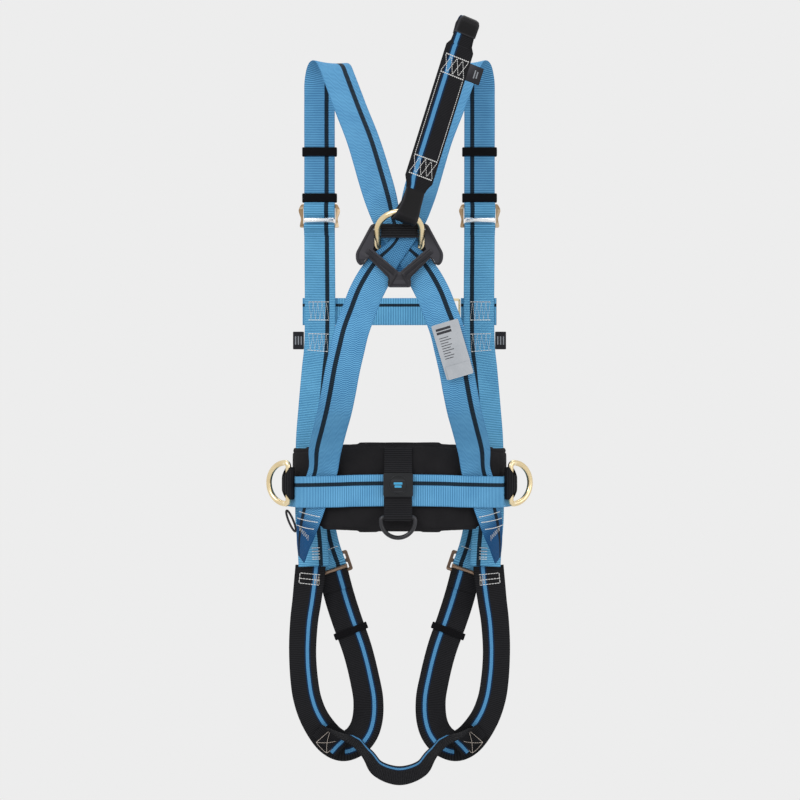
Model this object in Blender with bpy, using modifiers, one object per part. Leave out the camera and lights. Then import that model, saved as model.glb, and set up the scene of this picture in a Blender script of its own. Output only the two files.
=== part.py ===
"""Full-body safety harness with a work-positioning belt, as separate webbing and hardware pieces.

Metres, +Z up. The origin lies midway between the two shoulder bends, where the harness rests.
+Y is the wearer's front, so the back of the harness faces -Y. -X is the wearer's left.
"""

import math

import bpy
import bmesh
import numpy as np
from mathutils import Matrix, Vector

# Driving dimensions
WEBBING = 0.045          # width of the main webbing
WEB_THICK = 0.002        # thickness of one layer of webbing
RING_WIRE = 0.004        # radius of the wire of the attachment rings
RING_HALF = 0.0292       # half width of a ring between the centres of its legs

FRONT_Y = 0.050          # plane of the front straps
FRONT_X = 0.1176         # distance of a front strap from the middle
BELT_Z = -0.607          # height of the belt's middle
BELT_CENTRE_Y = 0.052    # centre of the belt's oval
BELT_A = 0.158           # half width of the pad's outer surface
BELT_B = 0.092           # half depth of the pad's outer surface
BELT_POWER = 2.6         # squareness of the belt's oval
PAD_THICK = 0.012
BELT_LIFT = 0.0062       # distance of the belt webbing from the oval
STEP_HEIGHT = 0.0046     # extra distance where the belt passes over a shoulder strap
STEP_FROM, STEP_TO, STEP_SLOPE = 17.0, 62.0, 7.0    # degrees from the middle of the back

PLATE_Y = -0.1195        # middle plane of the dorsal plate
PLATE_THICK = 0.004
PLATE_Z = -0.292         # height of the dorsal plate's middle
RING_PIVOT = (0.0, -0.1065, -0.280)     # middle of the dorsal ring's straight bar
RING_LEAN = math.radians(42)            # lean of the dorsal ring away from the back
RING_DEPTH = 0.056                      # dorsal ring, bar to top of the bow
CROSS_Z = -0.277         # height at which the shoulder straps cross
CROSS_Y = -0.115         # plane of the outer strap at the crossing
CROSS_WIDTH = 0.028      # width of a shoulder strap where it is gathered at the crossing
GATHER = 0.046           # distance from the crossing over which it widens again
LAYER_STEP = 0.0032      # distance between the two straps where they overlap
SIDE_RING_DEPTH = 0.034                 # side ring, bar to top of the bow
SIDE_PIVOT = (0.1580, -0.0045, -0.6005) # middle of a side ring's straight bar
SIDE_RING_TURN = math.radians(30)       # side ring's turn towards the front
CARRIER_TURN = math.radians(-28)        # opening of a ring's carrier, away from the front
TOOL_RING_PIVOT = (-0.002, -0.0555, -0.6435)   # middle of the tool ring's straight bar

EXT_WIDTH = 0.0385              # width of the extension strap
EXT_ANGLE = math.radians(17.4)          # lean of the extension strap to the right
EXT_LENGTH = 0.256              # bow of the dorsal ring to the extension's upper loop
EXT_LOOP = 0.052                # length of each end loop of the extension
EXT_CLOSE = 0.030               # distance from a loop's end at which its two layers meet
EXT_TAB = 0.200                 # height of the small tab along the extension

BLUE = ((0.10, 0.33, 0.60), 0.75, 0.0)
BLACK_WEB = ((0.02, 0.02, 0.022), 0.8, 0.0)
PAD_CLOTH = ((0.016, 0.016, 0.019), 0.9, 0.0)
PLASTIC = ((0.02, 0.02, 0.023), 0.5, 0.0)
GOLD = ((0.75, 0.55, 0.25), 0.3, 1.0)
BRONZE = ((0.45, 0.32, 0.2), 0.4, 1.0)
DARK_BRONZE = ((0.12, 0.08, 0.06), 0.45, 1.0)
STEEL = ((0.75, 0.75, 0.77), 0.25, 1.0)
DARK_STEEL = ((0.03, 0.03, 0.032), 0.4, 0.6)
LABEL = ((0.5, 0.5, 0.52), 0.6, 0.0)

# Routes of the webbing: x, y, z of the middle line, then the direction that the outer face looks in.
# The left shoulder strap, from the front adjuster over the shoulder to the right hip.
SHOULDER_ROUTE = [
    (-0.1176, 0.050, -0.2160, 0, 1, 0),
    (-0.1176, 0.050, -0.1290, 0, 1, 0),
    (-0.1176, 0.050, -0.0410, 0, 1, 0),
    (-0.1168, 0.048, -0.0130, 0, 1, 0.2),
    (-0.1110, 0.037, 0.0020, 0, 0.55, 0.85),
    (-0.1010, 0.022, 0.0040, 0, -0.1, 1),
    (-0.0920, 0.007, -0.0060, 0, -0.75, 0.65),
    (-0.0855, -0.005, -0.0240, 0, -1, 0.45),
    (-0.0760, -0.020, -0.0515, 0, -1, 0.45),
    (-0.0670, -0.034, -0.0775, 0, -1, 0.5),
    (-0.0498, -0.060, -0.1255, 0, -1, 0.5),
    (-0.0323, -0.094, -0.1870, -0.14, -1, 0.5),
    (-0.0242, -0.109, -0.2165, -0.14, -1, 0.3),
    (-0.0150, -0.1145, -0.2480, -0.05, -1, 0.1),
    (0.0, -0.1150, -0.2770, 0, -1, 0),
    (0.0230, -0.1152, -0.3040, 0, -1, 0),
    (0.0430, -0.1160, -0.3380, -0.03, -1, 0.1),
    (0.0530, -0.1250, -0.3650, -0.05, -1, 0.25),
    (0.0619, -0.1350, -0.3910, 0, -1, 0.2),
    (0.0680, -0.1400, -0.4170, 0, -1, 0),
    (0.0740, -0.1390, -0.4430, 0, -1, -0.15),
    (0.0790, -0.1330, -0.4690, 0, -1, -0.3),
    (0.0850, -0.1190, -0.4950, 0, -1, -0.45),
    (0.0935, -0.0900, -0.5220, 0, -1, -0.7),
    (0.1030, -0.0550, -0.5530, 0.2, -1, -0.6),
    (0.1080, -0.0305, -0.5840, 0.45, -1, -0.1),
    (0.1160, -0.0260, -0.6070, 0.5, -1, 0),
    (0.1220, -0.0240, -0.6270, 0.6, -1, 0),
    (0.1265, -0.0210, -0.6430, 0.75, -1, 0),
    (0.1320, -0.0145, -0.6620, 1.0, -1, 0),
    (0.1370, -0.0035, -0.6820, 1.3, -0.8, 0),
    (0.1405, 0.0100, -0.7030, 1.5, -0.6, 0),
    (0.1425, 0.0240, -0.7200, 1.5, -0.5, 0),
]
# The left front strap, from the adjuster past the belt's inside to the leg strap.
FRONT_ROUTE = [
    (-0.1176, 0.050, -0.2225, 0, 1, 0),
    (-0.1176, 0.050, -0.4000, 0, 1, 0),
    (-0.1213, 0.050, -0.4380, 0, 1, 0),
    (-0.1266, 0.051, -0.4970, 0, 1, 0),
    (-0.1300, 0.052, -0.5410, 0, 1, 0),
    (-0.1310, 0.053, -0.6000, 0, 1, 0),
    (-0.1310, 0.054, -0.6590, 0, 1, 0),
    (-0.1280, 0.055, -0.6960, 0, 1, 0),
    (-0.1265, 0.055, -0.7270, 0, 1, 0),
]
LEG_ROUTE = [
    (-0.1300, 0.0625, -0.7000, 0, -1, 0),
    (-0.1323, 0.0620, -0.7340, 0, -1, 0),
    (-0.1370, 0.0580, -0.7780, -0.25, -1, 0),
    (-0.1405, 0.0530, -0.8060, -0.35, -1, 0),
    (-0.1422, 0.0450, -0.8490, -0.4, -1, -0.1),
    (-0.1389, 0.0350, -0.8900, -0.35, -1, -0.1),
    (-0.1333, 0.0290, -0.9180, -0.3, -1, -0.1),
    (-0.1216, 0.0235, -0.9450, -0.2, -1, -0.1),
    (-0.0990, 0.0225, -0.9740, 0, -1, 0),
    (-0.0819, 0.0260, -0.9830, 0, -1, 0),
    (-0.0650, 0.0320, -0.9790, 0, -1, 0),
    (-0.0533, 0.0370, -0.9670, 0, -1, 0),
    (-0.0470, 0.0420, -0.9500, 0.1, -1, 0),
    (-0.0458, 0.0480, -0.9226, 0.25, -1, 0),
    (-0.0509, 0.0540, -0.8948, 0.35, -1, 0),
    (-0.0622, 0.0620, -0.8523, 0.35, -1, 0),
    (-0.0782, 0.0700, -0.8095, 0.25, -1, 0),
    (-0.0883, 0.0760, -0.7804, 0.1, -1, 0),
    (-0.0965, 0.0790, -0.7512, 0, -1, 0),
    (-0.1010, 0.0805, -0.7320, 0, -1, 0),
]
BUCKLE_STRAP_ROUTE = [
    (-0.1240, 0.0650, -0.6260, 0, -1, 0),
    (-0.1182, 0.0670, -0.6680, 0, -1, 0),
    (-0.1120, 0.0690, -0.6980, 0, -1, 0),
    (-0.1035, 0.0700, -0.7240, 0, -1, 0),
]
SUB_PELVIC_HALF = [
    (-0.1086, 0.0165, -0.9800, 0, -1, 0),
    (-0.0960, 0.0160, -0.9665, 0, -1, 0),
    (-0.0860, 0.0060, -0.9590, 0.2, -0.8, -0.6),
    (-0.0740, -0.0060, -0.9610, 0, -0.2, -1),
    (-0.0600, -0.0095, -0.9680, 0, 0, -1),
    (-0.0450, -0.0100, -0.9810, 0, 0.1, -1),
    (-0.0300, -0.0100, -0.9965, 0, 0.2, -1),
    (0.0, -0.0100, -1.0140, 0, 0.27, -0.96),
]


def clear_scene():
    """Remove every object of the scene."""
    for item in list(bpy.data.objects):
        bpy.data.objects.remove(item, do_unlink=True)


clear_scene()
HARNESS = bpy.data.collections.new("safety_harness")
bpy.context.scene.collection.children.link(HARNESS)


def material(name, look):
    """A Principled material from a colour, a roughness and a metallic value."""
    colour, roughness, metallic = look
    made = bpy.data.materials.new(name)
    made.use_nodes = True
    shader = made.node_tree.nodes["Principled BSDF"]
    shader.inputs["Base Color"].default_value = (*colour, 1.0)
    shader.inputs["Roughness"].default_value = roughness
    shader.inputs["Metallic"].default_value = metallic
    return made


def add(name, data, look, location=(0, 0, 0), matrix=None):
    """Put mesh or curve data into the harness as one named piece."""
    data.materials.append(material(name, look))
    piece = bpy.data.objects.new(name, data)
    if matrix is not None:
        piece.matrix_world = matrix
    else:
        piece.location = location
    HARNESS.objects.link(piece)
    return piece


def mirrored(route):
    """The same route on the other side of the body."""
    return [(-x, y, z, -nx, ny, nz) for x, y, z, nx, ny, nz in route]


def smooth(route, samples):
    """Points of a centripetal Catmull-Rom curve through a route, evenly spaced along it."""
    points = np.array(route, float)
    ends = 2 * points[0] - points[1], 2 * points[-1] - points[-2]
    points = np.vstack([ends[0], points, ends[1]])
    knots = np.concatenate([[0], np.cumsum(np.linalg.norm(np.diff(points[:, :3], axis=0), axis=1) ** 0.5)])
    found = []
    for i in range(1, len(points) - 2):
        t0, t1, t2, t3 = knots[i - 1:i + 3]
        p0, p1, p2, p3 = points[i - 1:i + 3]
        t = np.linspace(t1, t2, 24, endpoint=False)[:, None]
        a1 = (t1 - t) / (t1 - t0) * p0 + (t - t0) / (t1 - t0) * p1
        a2 = (t2 - t) / (t2 - t1) * p1 + (t - t1) / (t2 - t1) * p2
        a3 = (t3 - t) / (t3 - t2) * p2 + (t - t2) / (t3 - t2) * p3
        b1 = (t2 - t) / (t2 - t0) * a1 + (t - t0) / (t2 - t0) * a2
        b2 = (t3 - t) / (t3 - t1) * a2 + (t - t1) / (t3 - t1) * a3
        found.append((t2 - t) / (t2 - t1) * b1 + (t - t1) / (t2 - t1) * b2)
    found = np.vstack(found + [points[-2][None, :]])
    along = np.concatenate([[0], np.cumsum(np.linalg.norm(np.diff(found[:, :3], axis=0), axis=1))])
    even = np.linspace(0, along[-1], samples)
    return np.column_stack([np.interp(even, along, found[:, k]) for k in range(found.shape[1])])


def across(points):
    """The unit width direction at each point: outer normal times the direction of travel."""
    travel = np.gradient(points[:, :3], axis=0)
    width = np.cross(points[:, 3:6], travel)
    return width / np.linalg.norm(width, axis=1)[:, None]


def strip_mesh(name, centre, width_direction, widths, closed=False):
    """An open strip of quads across a middle line."""
    half = np.asarray(widths, float)[:, None] / 2
    left = centre - width_direction * half
    right = centre + width_direction * half
    count = len(centre)
    shape = bmesh.new()
    rows = [(shape.verts.new(left[i]), shape.verts.new(right[i])) for i in range(count)]
    for i in range(count if closed else count - 1):
        a, b = rows[i], rows[(i + 1) % count]
        shape.faces.new((a[0], a[1], b[1], b[0]))
    data = bpy.data.meshes.new(name)
    shape.to_mesh(data)
    shape.free()
    return data


def thicken(piece, thickness):
    """Give an open strip its thickness, half to each side."""
    wall = piece.modifiers.new("thickness", "SOLIDIFY")
    wall.thickness = thickness
    wall.offset = 0
    wall.use_even_offset = True
    return piece


def strap(name, route, samples, look, width=WEBBING, thickness=WEB_THICK, widths=None):
    """A strap of webbing along a route."""
    points = smooth(route, samples)
    if widths is None:
        widths = np.full(samples, width)
    data = strip_mesh(name, points[:, :3], across(points), widths)
    return thicken(add(name, data, look), thickness)


def band(name, centre, u, v, half_u, half_v, height, look, thickness=0.0014, corner=3):
    """A closed band round a strap: a rounded rectangle in the plane of u and v, as high as given."""
    u, v = Vector(u).normalized(), Vector(v).normalized()
    axis = u.cross(v).normalized()
    radius = half_v * 0.98
    ring = []
    for sign, start in ((1, -90), (-1, 90)):
        for step in range(2 * corner + 1):
            angle = math.radians(start + 180 * step / (2 * corner))
            along = sign * (half_u - radius) + radius * math.cos(angle)
            ring.append(u * along + v * (radius * math.sin(angle)))
    points = np.array([tuple(p) for p in ring])
    directions = np.tile(np.array(axis), (len(points), 1))
    data = strip_mesh(name, points, directions, np.full(len(points), height), closed=True)
    return thicken(add(name, data, look, location=Vector(centre)), thickness)


def round_bar(name, radius, length, look, location, roll=0.0):
    """A loose round bar along local X, turned by roll in the plane that faces back."""
    data = bpy.data.meshes.new(name)
    shape = bmesh.new()
    made = bmesh.ops.create_cone(shape, cap_ends=True, segments=10, radius1=radius, radius2=radius,
                                 depth=length)
    turn = Matrix.Rotation(-roll, 3, "Y") @ Matrix.Rotation(math.pi / 2, 3, "Y")
    bmesh.ops.rotate(shape, verts=made["verts"], cent=(0, 0, 0), matrix=turn)
    shape.to_mesh(data)
    shape.free()
    return add(name, data, look, location=location)


def wire(name, points, radius, look, matrix, resolution=2):
    """A closed ring of round wire through the points."""
    curve = bpy.data.curves.new(name, "CURVE")
    curve.dimensions = "3D"
    curve.bevel_depth = radius
    curve.bevel_resolution = resolution
    spline = curve.splines.new("POLY")
    spline.points.add(len(points) - 1)
    for point, place in zip(spline.points, points):
        point.co = (*place, 1)
    spline.use_cyclic_u = True
    return add(name, curve, look, matrix=matrix)


def d_outline(half, depth, corner=0.006, arc=12):
    """A D shape in the local X-Z plane: a straight bar on the X axis, and a round bow above it."""
    points = []
    for step in range(4):
        angle = math.radians(-90 - 90 * step / 3)
        points.append((-half + corner + corner * math.cos(angle), 0, corner + corner * math.sin(angle)))
    for step in range(arc + 1):
        angle = math.pi * (1 - step / arc)
        points.append((half * math.cos(angle), 0, depth - half + half * math.sin(angle)))
    for step in range(4):
        angle = math.radians(-90 * step / 3)
        points.append((half - corner + corner * math.cos(angle), 0, corner + corner * math.sin(angle)))
    return points


def flat_piece(name, outlines, thickness, look, matrix):
    """A flat piece with holes: closed outlines in its local X-Y plane, with a thickness along local Z."""
    curve = bpy.data.curves.new(name, "CURVE")
    curve.dimensions = "2D"
    curve.fill_mode = "BOTH"
    curve.extrude = thickness / 2
    for outline in outlines:
        spline = curve.splines.new("POLY")
        spline.points.add(len(outline) - 1)
        for point, (x, y) in zip(spline.points, outline):
            point.co = (x, y, 0, 1)
        spline.use_cyclic_u = True
    return add(name, curve, look, matrix=matrix)


def rounded(half_x, half_y, radius, centre=(0, 0), steps=3):
    """A rectangle with round corners."""
    points = []
    for quarter, (sx, sy) in enumerate(((1, 1), (-1, 1), (-1, -1), (1, -1))):
        for step in range(steps + 1):
            angle = math.radians(90 * quarter + 90 * step / steps)
            x = sx * (half_x - radius) + radius * math.cos(angle)
            y = sy * (half_y - radius) + radius * math.sin(angle)
            points.append((centre[0] + x, centre[1] + y))
    return points


def softened(corners, radius, steps=3):
    """An outline whose corners are rounded by arcs of Bezier shape."""
    points = []
    for i, corner in enumerate(corners):
        here = Vector(corner)
        before, after = Vector(corners[i - 1]), Vector(corners[(i + 1) % len(corners)])
        start = here + (before - here).normalized() * radius
        end = here + (after - here).normalized() * radius
        for step in range(steps + 1):
            t = step / steps
            points.append(tuple((1 - t) ** 2 * start + 2 * t * (1 - t) * here + t ** 2 * end))
    return points


def facing_back(location, lean=0.0, roll=0.0):
    """Local X to +X, local Y up and local Z to the back, turned by roll in its plane and leant about X."""
    turn = Matrix.Rotation(math.radians(90) + lean, 4, "X") @ Matrix.Rotation(roll, 4, "Z")
    return Matrix.Translation(location) @ turn


def belt_point(angle, outward=0.0):
    """A point of the belt's oval: angle 0 is the middle of the back, positive towards +X."""
    power = 2 / BELT_POWER
    sine, cosine = math.sin(angle), math.cos(angle)
    x = (BELT_A + outward) * math.copysign(abs(sine) ** power, sine)
    y = BELT_CENTRE_Y - (BELT_B + outward) * math.copysign(abs(cosine) ** power, cosine)
    return x, y


def belt_stations(first, last, count, outward):
    """Points along the oval between two angles, evenly spaced."""
    dense = np.array([belt_point(a, outward) for a in np.linspace(first, last, 400)])
    along = np.concatenate([[0], np.cumsum(np.linalg.norm(np.diff(dense, axis=0), axis=1))])
    even = np.linspace(0, along[-1], count)
    points = np.column_stack([np.interp(even, along, dense[:, k]) for k in range(2)])
    return points


def strap_step(angle):
    """Extra distance of the belt webbing from the oval, where it passes over a shoulder strap."""
    turn = abs(math.degrees(angle))
    rise = min(max((turn - STEP_FROM) / STEP_SLOPE, 0), 1)
    fall = min(max((STEP_TO - turn) / STEP_SLOPE, 0), 1)
    level = min(rise, fall)
    return STEP_HEIGHT * level * level * (3 - 2 * level)


def belt_height(x):
    """The belt dips a little towards the sides."""
    return BELT_Z - 0.006 * (x / BELT_A) ** 2


# ---- webbing of the back and the shoulders ----

def make_shoulder_straps():
    """The two long straps. The right one lies over the left one where they cross."""
    samples = 76
    under = []
    for x, y, z, nx, ny, nz in SHOULDER_ROUTE:
        overlapping = y < -0.08 and -0.36 < z < -0.18
        under.append((x, y + LAYER_STEP * overlapping, z, nx, ny, nz))
    for side, route in (("left", under), ("right", mirrored(SHOULDER_ROUTE))):
        points = smooth(route, samples)
        crossing = np.array((0.0, CROSS_Y, CROSS_Z))
        away = np.linalg.norm(points[:, :3] - crossing, axis=1)
        widths = WEBBING - (WEBBING - CROSS_WIDTH) * np.exp(-(away / GATHER) ** 2)
        strap(f"shoulder_strap_{side}", route, samples, BLUE, widths=widths)


def make_front_straps():
    """The two front straps, from the adjusters down inside the belt to the hips."""
    strap("front_strap_left", FRONT_ROUTE, 20, BLUE)
    strap("front_strap_right", mirrored(FRONT_ROUTE), 20, BLUE)


def make_keepers():
    """Elastic keepers on the upper front straps."""
    for side, sign in (("left", -1), ("right", 1)):
        for level, z in (("upper", -0.1173), ("lower", -0.1850)):
            band(f"strap_keeper_{level}_{side}", (sign * FRONT_X, FRONT_Y, z), (1, 0, 0), (0, 1, 0),
                 WEBBING / 2 + 0.0024, 0.0028, 0.013, BLACK_WEB)


def make_adjusters():
    """Shoulder adjusters: a frame with waisted sides, and a loose bar that grips the webbing."""
    half_inside = WEBBING / 2 + 0.0016
    for side, sign in (("left", -1), ("right", 1)):
        outer = softened([(-0.0255, 0.0165), (-0.0305, 0.006), (-0.0265, -0.006), (-0.0275, -0.0175),
                          (0.0275, -0.0175), (0.0265, -0.006), (0.0305, 0.006), (0.0255, 0.0165)], 0.003, 2)
        hole = rounded(half_inside, 0.0125, 0.002, (0, -0.0005), 2)
        place = (sign * FRONT_X, FRONT_Y - 0.0040, -0.2115)
        flat_piece(f"adjuster_frame_{side}", [outer, hole], 0.0030, BRONZE, facing_back(place))
        round_bar(f"adjuster_bar_{side}", 0.0034, WEBBING - 0.001, STEEL,
                  (sign * FRONT_X, FRONT_Y - 0.0102, -0.2190))


# ---- dorsal attachment ----

def make_dorsal_plate():
    """Plastic plate with a diamond window, slots for the ring's legs and room below for the straps."""
    half = [(0.0, 0.0420), (0.0370, 0.0420), (0.0580, 0.0030), (0.0570, -0.0080), (0.0520, -0.0135),
            (0.0455, 0.0020), (0.0135, -0.0300), (0.0160, -0.0415)]
    left = [(-x, y) for x, y in reversed(half) if x > 0]
    outer = softened(half[1:] + left, 0.0035, 2)
    corner, slot, top = 0.0375, 0.0350, 0.0360
    inner = 0.0243
    right = [(inner, 0.0240), (inner, top), (slot, top), (slot, 0.0110), (corner, 0.0085), (0.0015, -0.0210)]
    window = right + [(-x, y) for x, y in reversed(right)]
    flat_piece("dorsal_plate", [outer, window], PLATE_THICK, PLASTIC, facing_back((0, PLATE_Y, PLATE_Z)))
    face = PLATE_Y - PLATE_THICK / 2 - 0.0004
    cover = rounded(0.0240, 0.0082, 0.0015)
    flat_piece("dorsal_bar_band", [cover], 0.0016, BLACK_WEB, facing_back((0, face - 0.0008, -0.2592)))


def ring_frame():
    """Placement of the dorsal ring: its bar on the pivot, its bow up and leaning back."""
    return Matrix.Translation(RING_PIVOT) @ Matrix.Rotation(RING_LEAN, 4, "X")


def make_dorsal_ring():
    """The dorsal ring, whose straight bar lies between the plate and the crossing straps."""
    wire("dorsal_d_ring", d_outline(RING_HALF, RING_DEPTH), RING_WIRE, GOLD, ring_frame())


def extension_frame():
    """Placement of the extension strap: local Z along it, local X along the ring's bow, origin in the bow."""
    turn = math.atan(math.tan(EXT_ANGLE) / math.cos(RING_LEAN))
    bow = Vector((RING_HALF * math.sin(turn), 0, RING_DEPTH - RING_HALF + RING_HALF * math.cos(turn)))
    origin = ring_frame() @ bow
    sideways = ring_frame().to_3x3() @ Vector((math.cos(turn), 0, -math.sin(turn)))
    upward = Vector((math.sin(EXT_ANGLE), 0, math.cos(EXT_ANGLE)))
    axes = Matrix((sideways, upward.cross(sideways), upward)).transposed().to_4x4()
    return Matrix.Translation(origin) @ axes


def loop_strap(name, frame, length, radius, middle, flare, base, look, thickness=0.0022, spread=0.0032):
    """A teardrop loop of webbing in local Y-Z: round a middle near the origin, then two legs up local Z."""
    points = []
    for step in range(4):
        t = step / 4
        points.append((0.0, -spread, length + (EXT_CLOSE - length) * t))
    for step in range(9):
        angle = math.radians(190 + 160 * step / 8)
        points.append((0.0, middle[0] + radius * math.cos(angle), middle[1] + radius * math.sin(angle)))
    for step in range(1, 5):
        t = step / 4
        points.append((0.0, spread, EXT_CLOSE + (length - EXT_CLOSE) * t))
    points = np.array(points)
    widths = base + (flare - base) * np.clip(1 - points[:, 2] / EXT_CLOSE, 0, 1)
    directions = np.tile(np.array((1.0, 0, 0)), (len(points), 1))
    data = strip_mesh(name, points, directions, widths)
    return thicken(add(name, data, look, matrix=frame), thickness)


def make_extension():
    """Extension strap of the dorsal ring: a doubled strap and its two end loops."""
    frame = extension_frame()
    length = EXT_LENGTH
    count = 8
    heights = np.linspace(EXT_CLOSE, length - EXT_CLOSE, count)
    points = np.column_stack([np.zeros((count, 2)), heights])
    sideways = np.tile(np.array((1.0, 0, 0)), (count, 1))
    data = strip_mesh("extension_strap", points, sideways, np.full(count, EXT_WIDTH))
    thicken(add("extension_strap", data, BLACK_WEB, matrix=frame), 0.0030)
    loop_strap("extension_lower_sleeve", frame, EXT_LOOP, 0.0090, (0.0006, -0.0028), 0.030, 0.034, BLACK_WEB)
    top = frame @ Matrix.Translation((0, 0, length)) @ Matrix.Rotation(math.pi, 4, "Y")
    loop_strap("extension_upper_sleeve", top, EXT_LOOP, 0.0075, (0, 0), 0.029, 0.032, BLACK_WEB)
    beside = Matrix.Translation((EXT_WIDTH / 2 + 0.0105, 0, EXT_TAB))
    tab_place = frame @ beside @ Matrix.Rotation(math.pi / 2, 4, "X")
    flat_piece("extension_tab", [rounded(0.0100, 0.0110, 0.0012)], 0.0014, BLACK_WEB, tab_place)


# ---- chest ----

def make_chest():
    """Chest strap in two halves behind the front straps, joined by a slotted frame and a bar plate."""
    y, z = FRONT_Y + 0.0062, -0.3515
    width = 0.040
    frame_x = 0.062
    strap("chest_strap_left", [(-FRONT_X - 0.0255, y, z, 0, 1, 0), (-0.04, y + 0.001, z, 0, 1, 0),
                               (frame_x - 0.017, y, z, 0, 1, 0)], 8, BLUE, width)
    strap("chest_strap_right", [(frame_x + 0.0285, y, z, 0, 1, 0), (0.105, y, z, 0, 1, 0),
                                (FRONT_X + 0.0255, y, z, 0, 1, 0)], 5, BLUE, width)
    outer = rounded(0.0150, 0.0290, 0.004)
    holes = [rounded(0.0040, 0.0215, 0.0015, (-0.0070, 0)), rounded(0.0040, 0.0215, 0.0015, (0.0070, 0))]
    flat_piece("chest_buckle_frame", [outer] + holes, 0.0032, GOLD, facing_back((frame_x, y + 0.0040, z)))
    bar = [rounded(0.0130, 0.0200, 0.003, (-0.0070, 0)), rounded(0.0032, 0.0165, 0.0012)]
    flat_piece("chest_buckle_bar", bar, 0.0030, GOLD, facing_back((frame_x + 0.0220, y + 0.0080, z)))
    for side, sign in (("left", -1), ("right", 1)):
        x = sign * FRONT_X
        loop = [(x, FRONT_Y + 0.0031, -0.3790, 0, 1, 0),
                (x - sign * 0.004, FRONT_Y + 0.012, -0.3960, 0, 1, 0.3),
                (x - sign * 0.020, FRONT_Y + 0.020, -0.4080, 0, 1, 0),
                (x - sign * 0.036, FRONT_Y + 0.014, -0.3980, 0, 1, 0)]
        strap(f"sternal_loop_{side}", loop, 9, BLACK_WEB, 0.020, 0.0030)
        tab = (x + sign * (WEBBING / 2 + 0.0085), FRONT_Y, -0.3945)
        flat_piece(f"sternal_tab_{side}", [rounded(0.0080, 0.0130, 0.0012)], 0.0014, BLACK_WEB,
                   facing_back(tab))


def make_label():
    """Identification label that lies on the right lower back strap."""
    place = (0.0685, -0.1455, -0.4165)
    matrix = facing_back(place, roll=math.radians(16.5))
    flat_piece("id_label", [rounded(0.0180, 0.0365, 0.0020)], 0.0008, LABEL, matrix)


# ---- belt ----

def make_pad():
    """Back pad: a curved cushion, wider at its top edge than at its bottom edge."""
    count = 29
    limit = math.radians(86)
    points = belt_stations(-limit, limit, count, -PAD_THICK / 2)
    side = points[:, 0] / BELT_A
    top = -0.5400 - 0.0115 * side ** 2
    bottom = -0.6655 + 0.0020 * side ** 2 + 0.050 * np.clip((abs(side) - 0.66) / 0.32, 0, 1) ** 1.3
    shape = bmesh.new()
    rows = []
    for i in range(count):
        rows.append([shape.verts.new((*points[i], bottom[i] + (top[i] - bottom[i]) * k / 2)) for k in range(3)])
    for i in range(count - 1):
        for k in range(2):
            shape.faces.new((rows[i][k], rows[i + 1][k], rows[i + 1][k + 1], rows[i][k + 1]))
    data = bpy.data.meshes.new("back_pad")
    shape.to_mesh(data)
    shape.free()
    thicken(add("back_pad", data, PAD_CLOTH), PAD_THICK - 0.001)


def make_belt():
    """Belt webbing from the front buckle round the back and home, and the buckle itself."""
    limit = math.radians(172.5)
    dense = np.array([belt_point(a, BELT_LIFT + strap_step(a)) for a in np.linspace(-limit, limit, 1200)])
    along = np.concatenate([[0], np.cumsum(np.linalg.norm(np.diff(dense, axis=0), axis=1))])
    even = np.linspace(0, along[-1], 96)
    points = np.column_stack([np.interp(even, along, dense[:, k]) for k in range(2)])
    heights = np.array([belt_height(x) for x in points[:, 0]])
    centre = np.column_stack([points, heights])
    up = np.tile(np.array((0.0, 0, 1)), (len(points), 1))
    data = strip_mesh("belt_webbing", centre, up, np.full(len(points), WEBBING - 0.001))
    thicken(add("belt_webbing", data, BLUE), WEB_THICK)
    y = BELT_CENTRE_Y + BELT_B + BELT_LIFT
    outer = rounded(0.0310, 0.0290, 0.005)
    holes = [rounded(0.0080, 0.0215, 0.002, (-0.0170, 0)), rounded(0.0080, 0.0215, 0.002, (0.0170, 0))]
    place = (0, y + 0.0052, BELT_Z)
    flat_piece("belt_buckle_frame", [outer] + holes, 0.0034, GOLD, facing_back(place))
    bar = [rounded(0.0150, 0.0200, 0.003, (-0.0150, 0)), rounded(0.0042, 0.0160, 0.0012, (-0.0150, 0))]
    flat_piece("belt_buckle_bar", bar, 0.0030, GOLD, facing_back((0.0320, y + 0.0094, BELT_Z)))


def make_side_rings():
    """Side rings, each on a webbing carrier that passes round its straight bar."""
    along = Vector((0, 0, 1))
    for side, sign in (("left", -1), ("right", 1)):
        pivot = Vector((sign * SIDE_PIVOT[0], SIDE_PIVOT[1], SIDE_PIVOT[2]))
        outward = Vector((sign * math.cos(SIDE_RING_TURN), math.sin(SIDE_RING_TURN), 0))
        frame = Matrix((along, outward.cross(along), outward)).transposed().to_4x4()
        wire(f"side_d_ring_{side}", d_outline(RING_HALF, SIDE_RING_DEPTH, 0.005), RING_WIRE, GOLD,
             Matrix.Translation(pivot) @ frame)
        radius = RING_WIRE + 0.0022
        points = []
        way = Vector((sign * math.cos(CARRIER_TURN), math.sin(CARRIER_TURN), 0))
        cross = Vector((-way.y, way.x, 0))
        for step in range(11):
            angle = math.radians(-150 + 300 * step / 10)
            points.append(pivot + way * (radius * math.cos(angle)) + cross * (radius * math.sin(angle)))
        data = strip_mesh(f"side_ring_carrier_{side}", np.array([tuple(p) for p in points]),
                          np.tile(np.array((0.0, 0, 1)), (len(points), 1)), np.full(len(points), 0.040))
        thicken(add(f"side_ring_carrier_{side}", data, BLACK_WEB), 0.0020)


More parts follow.
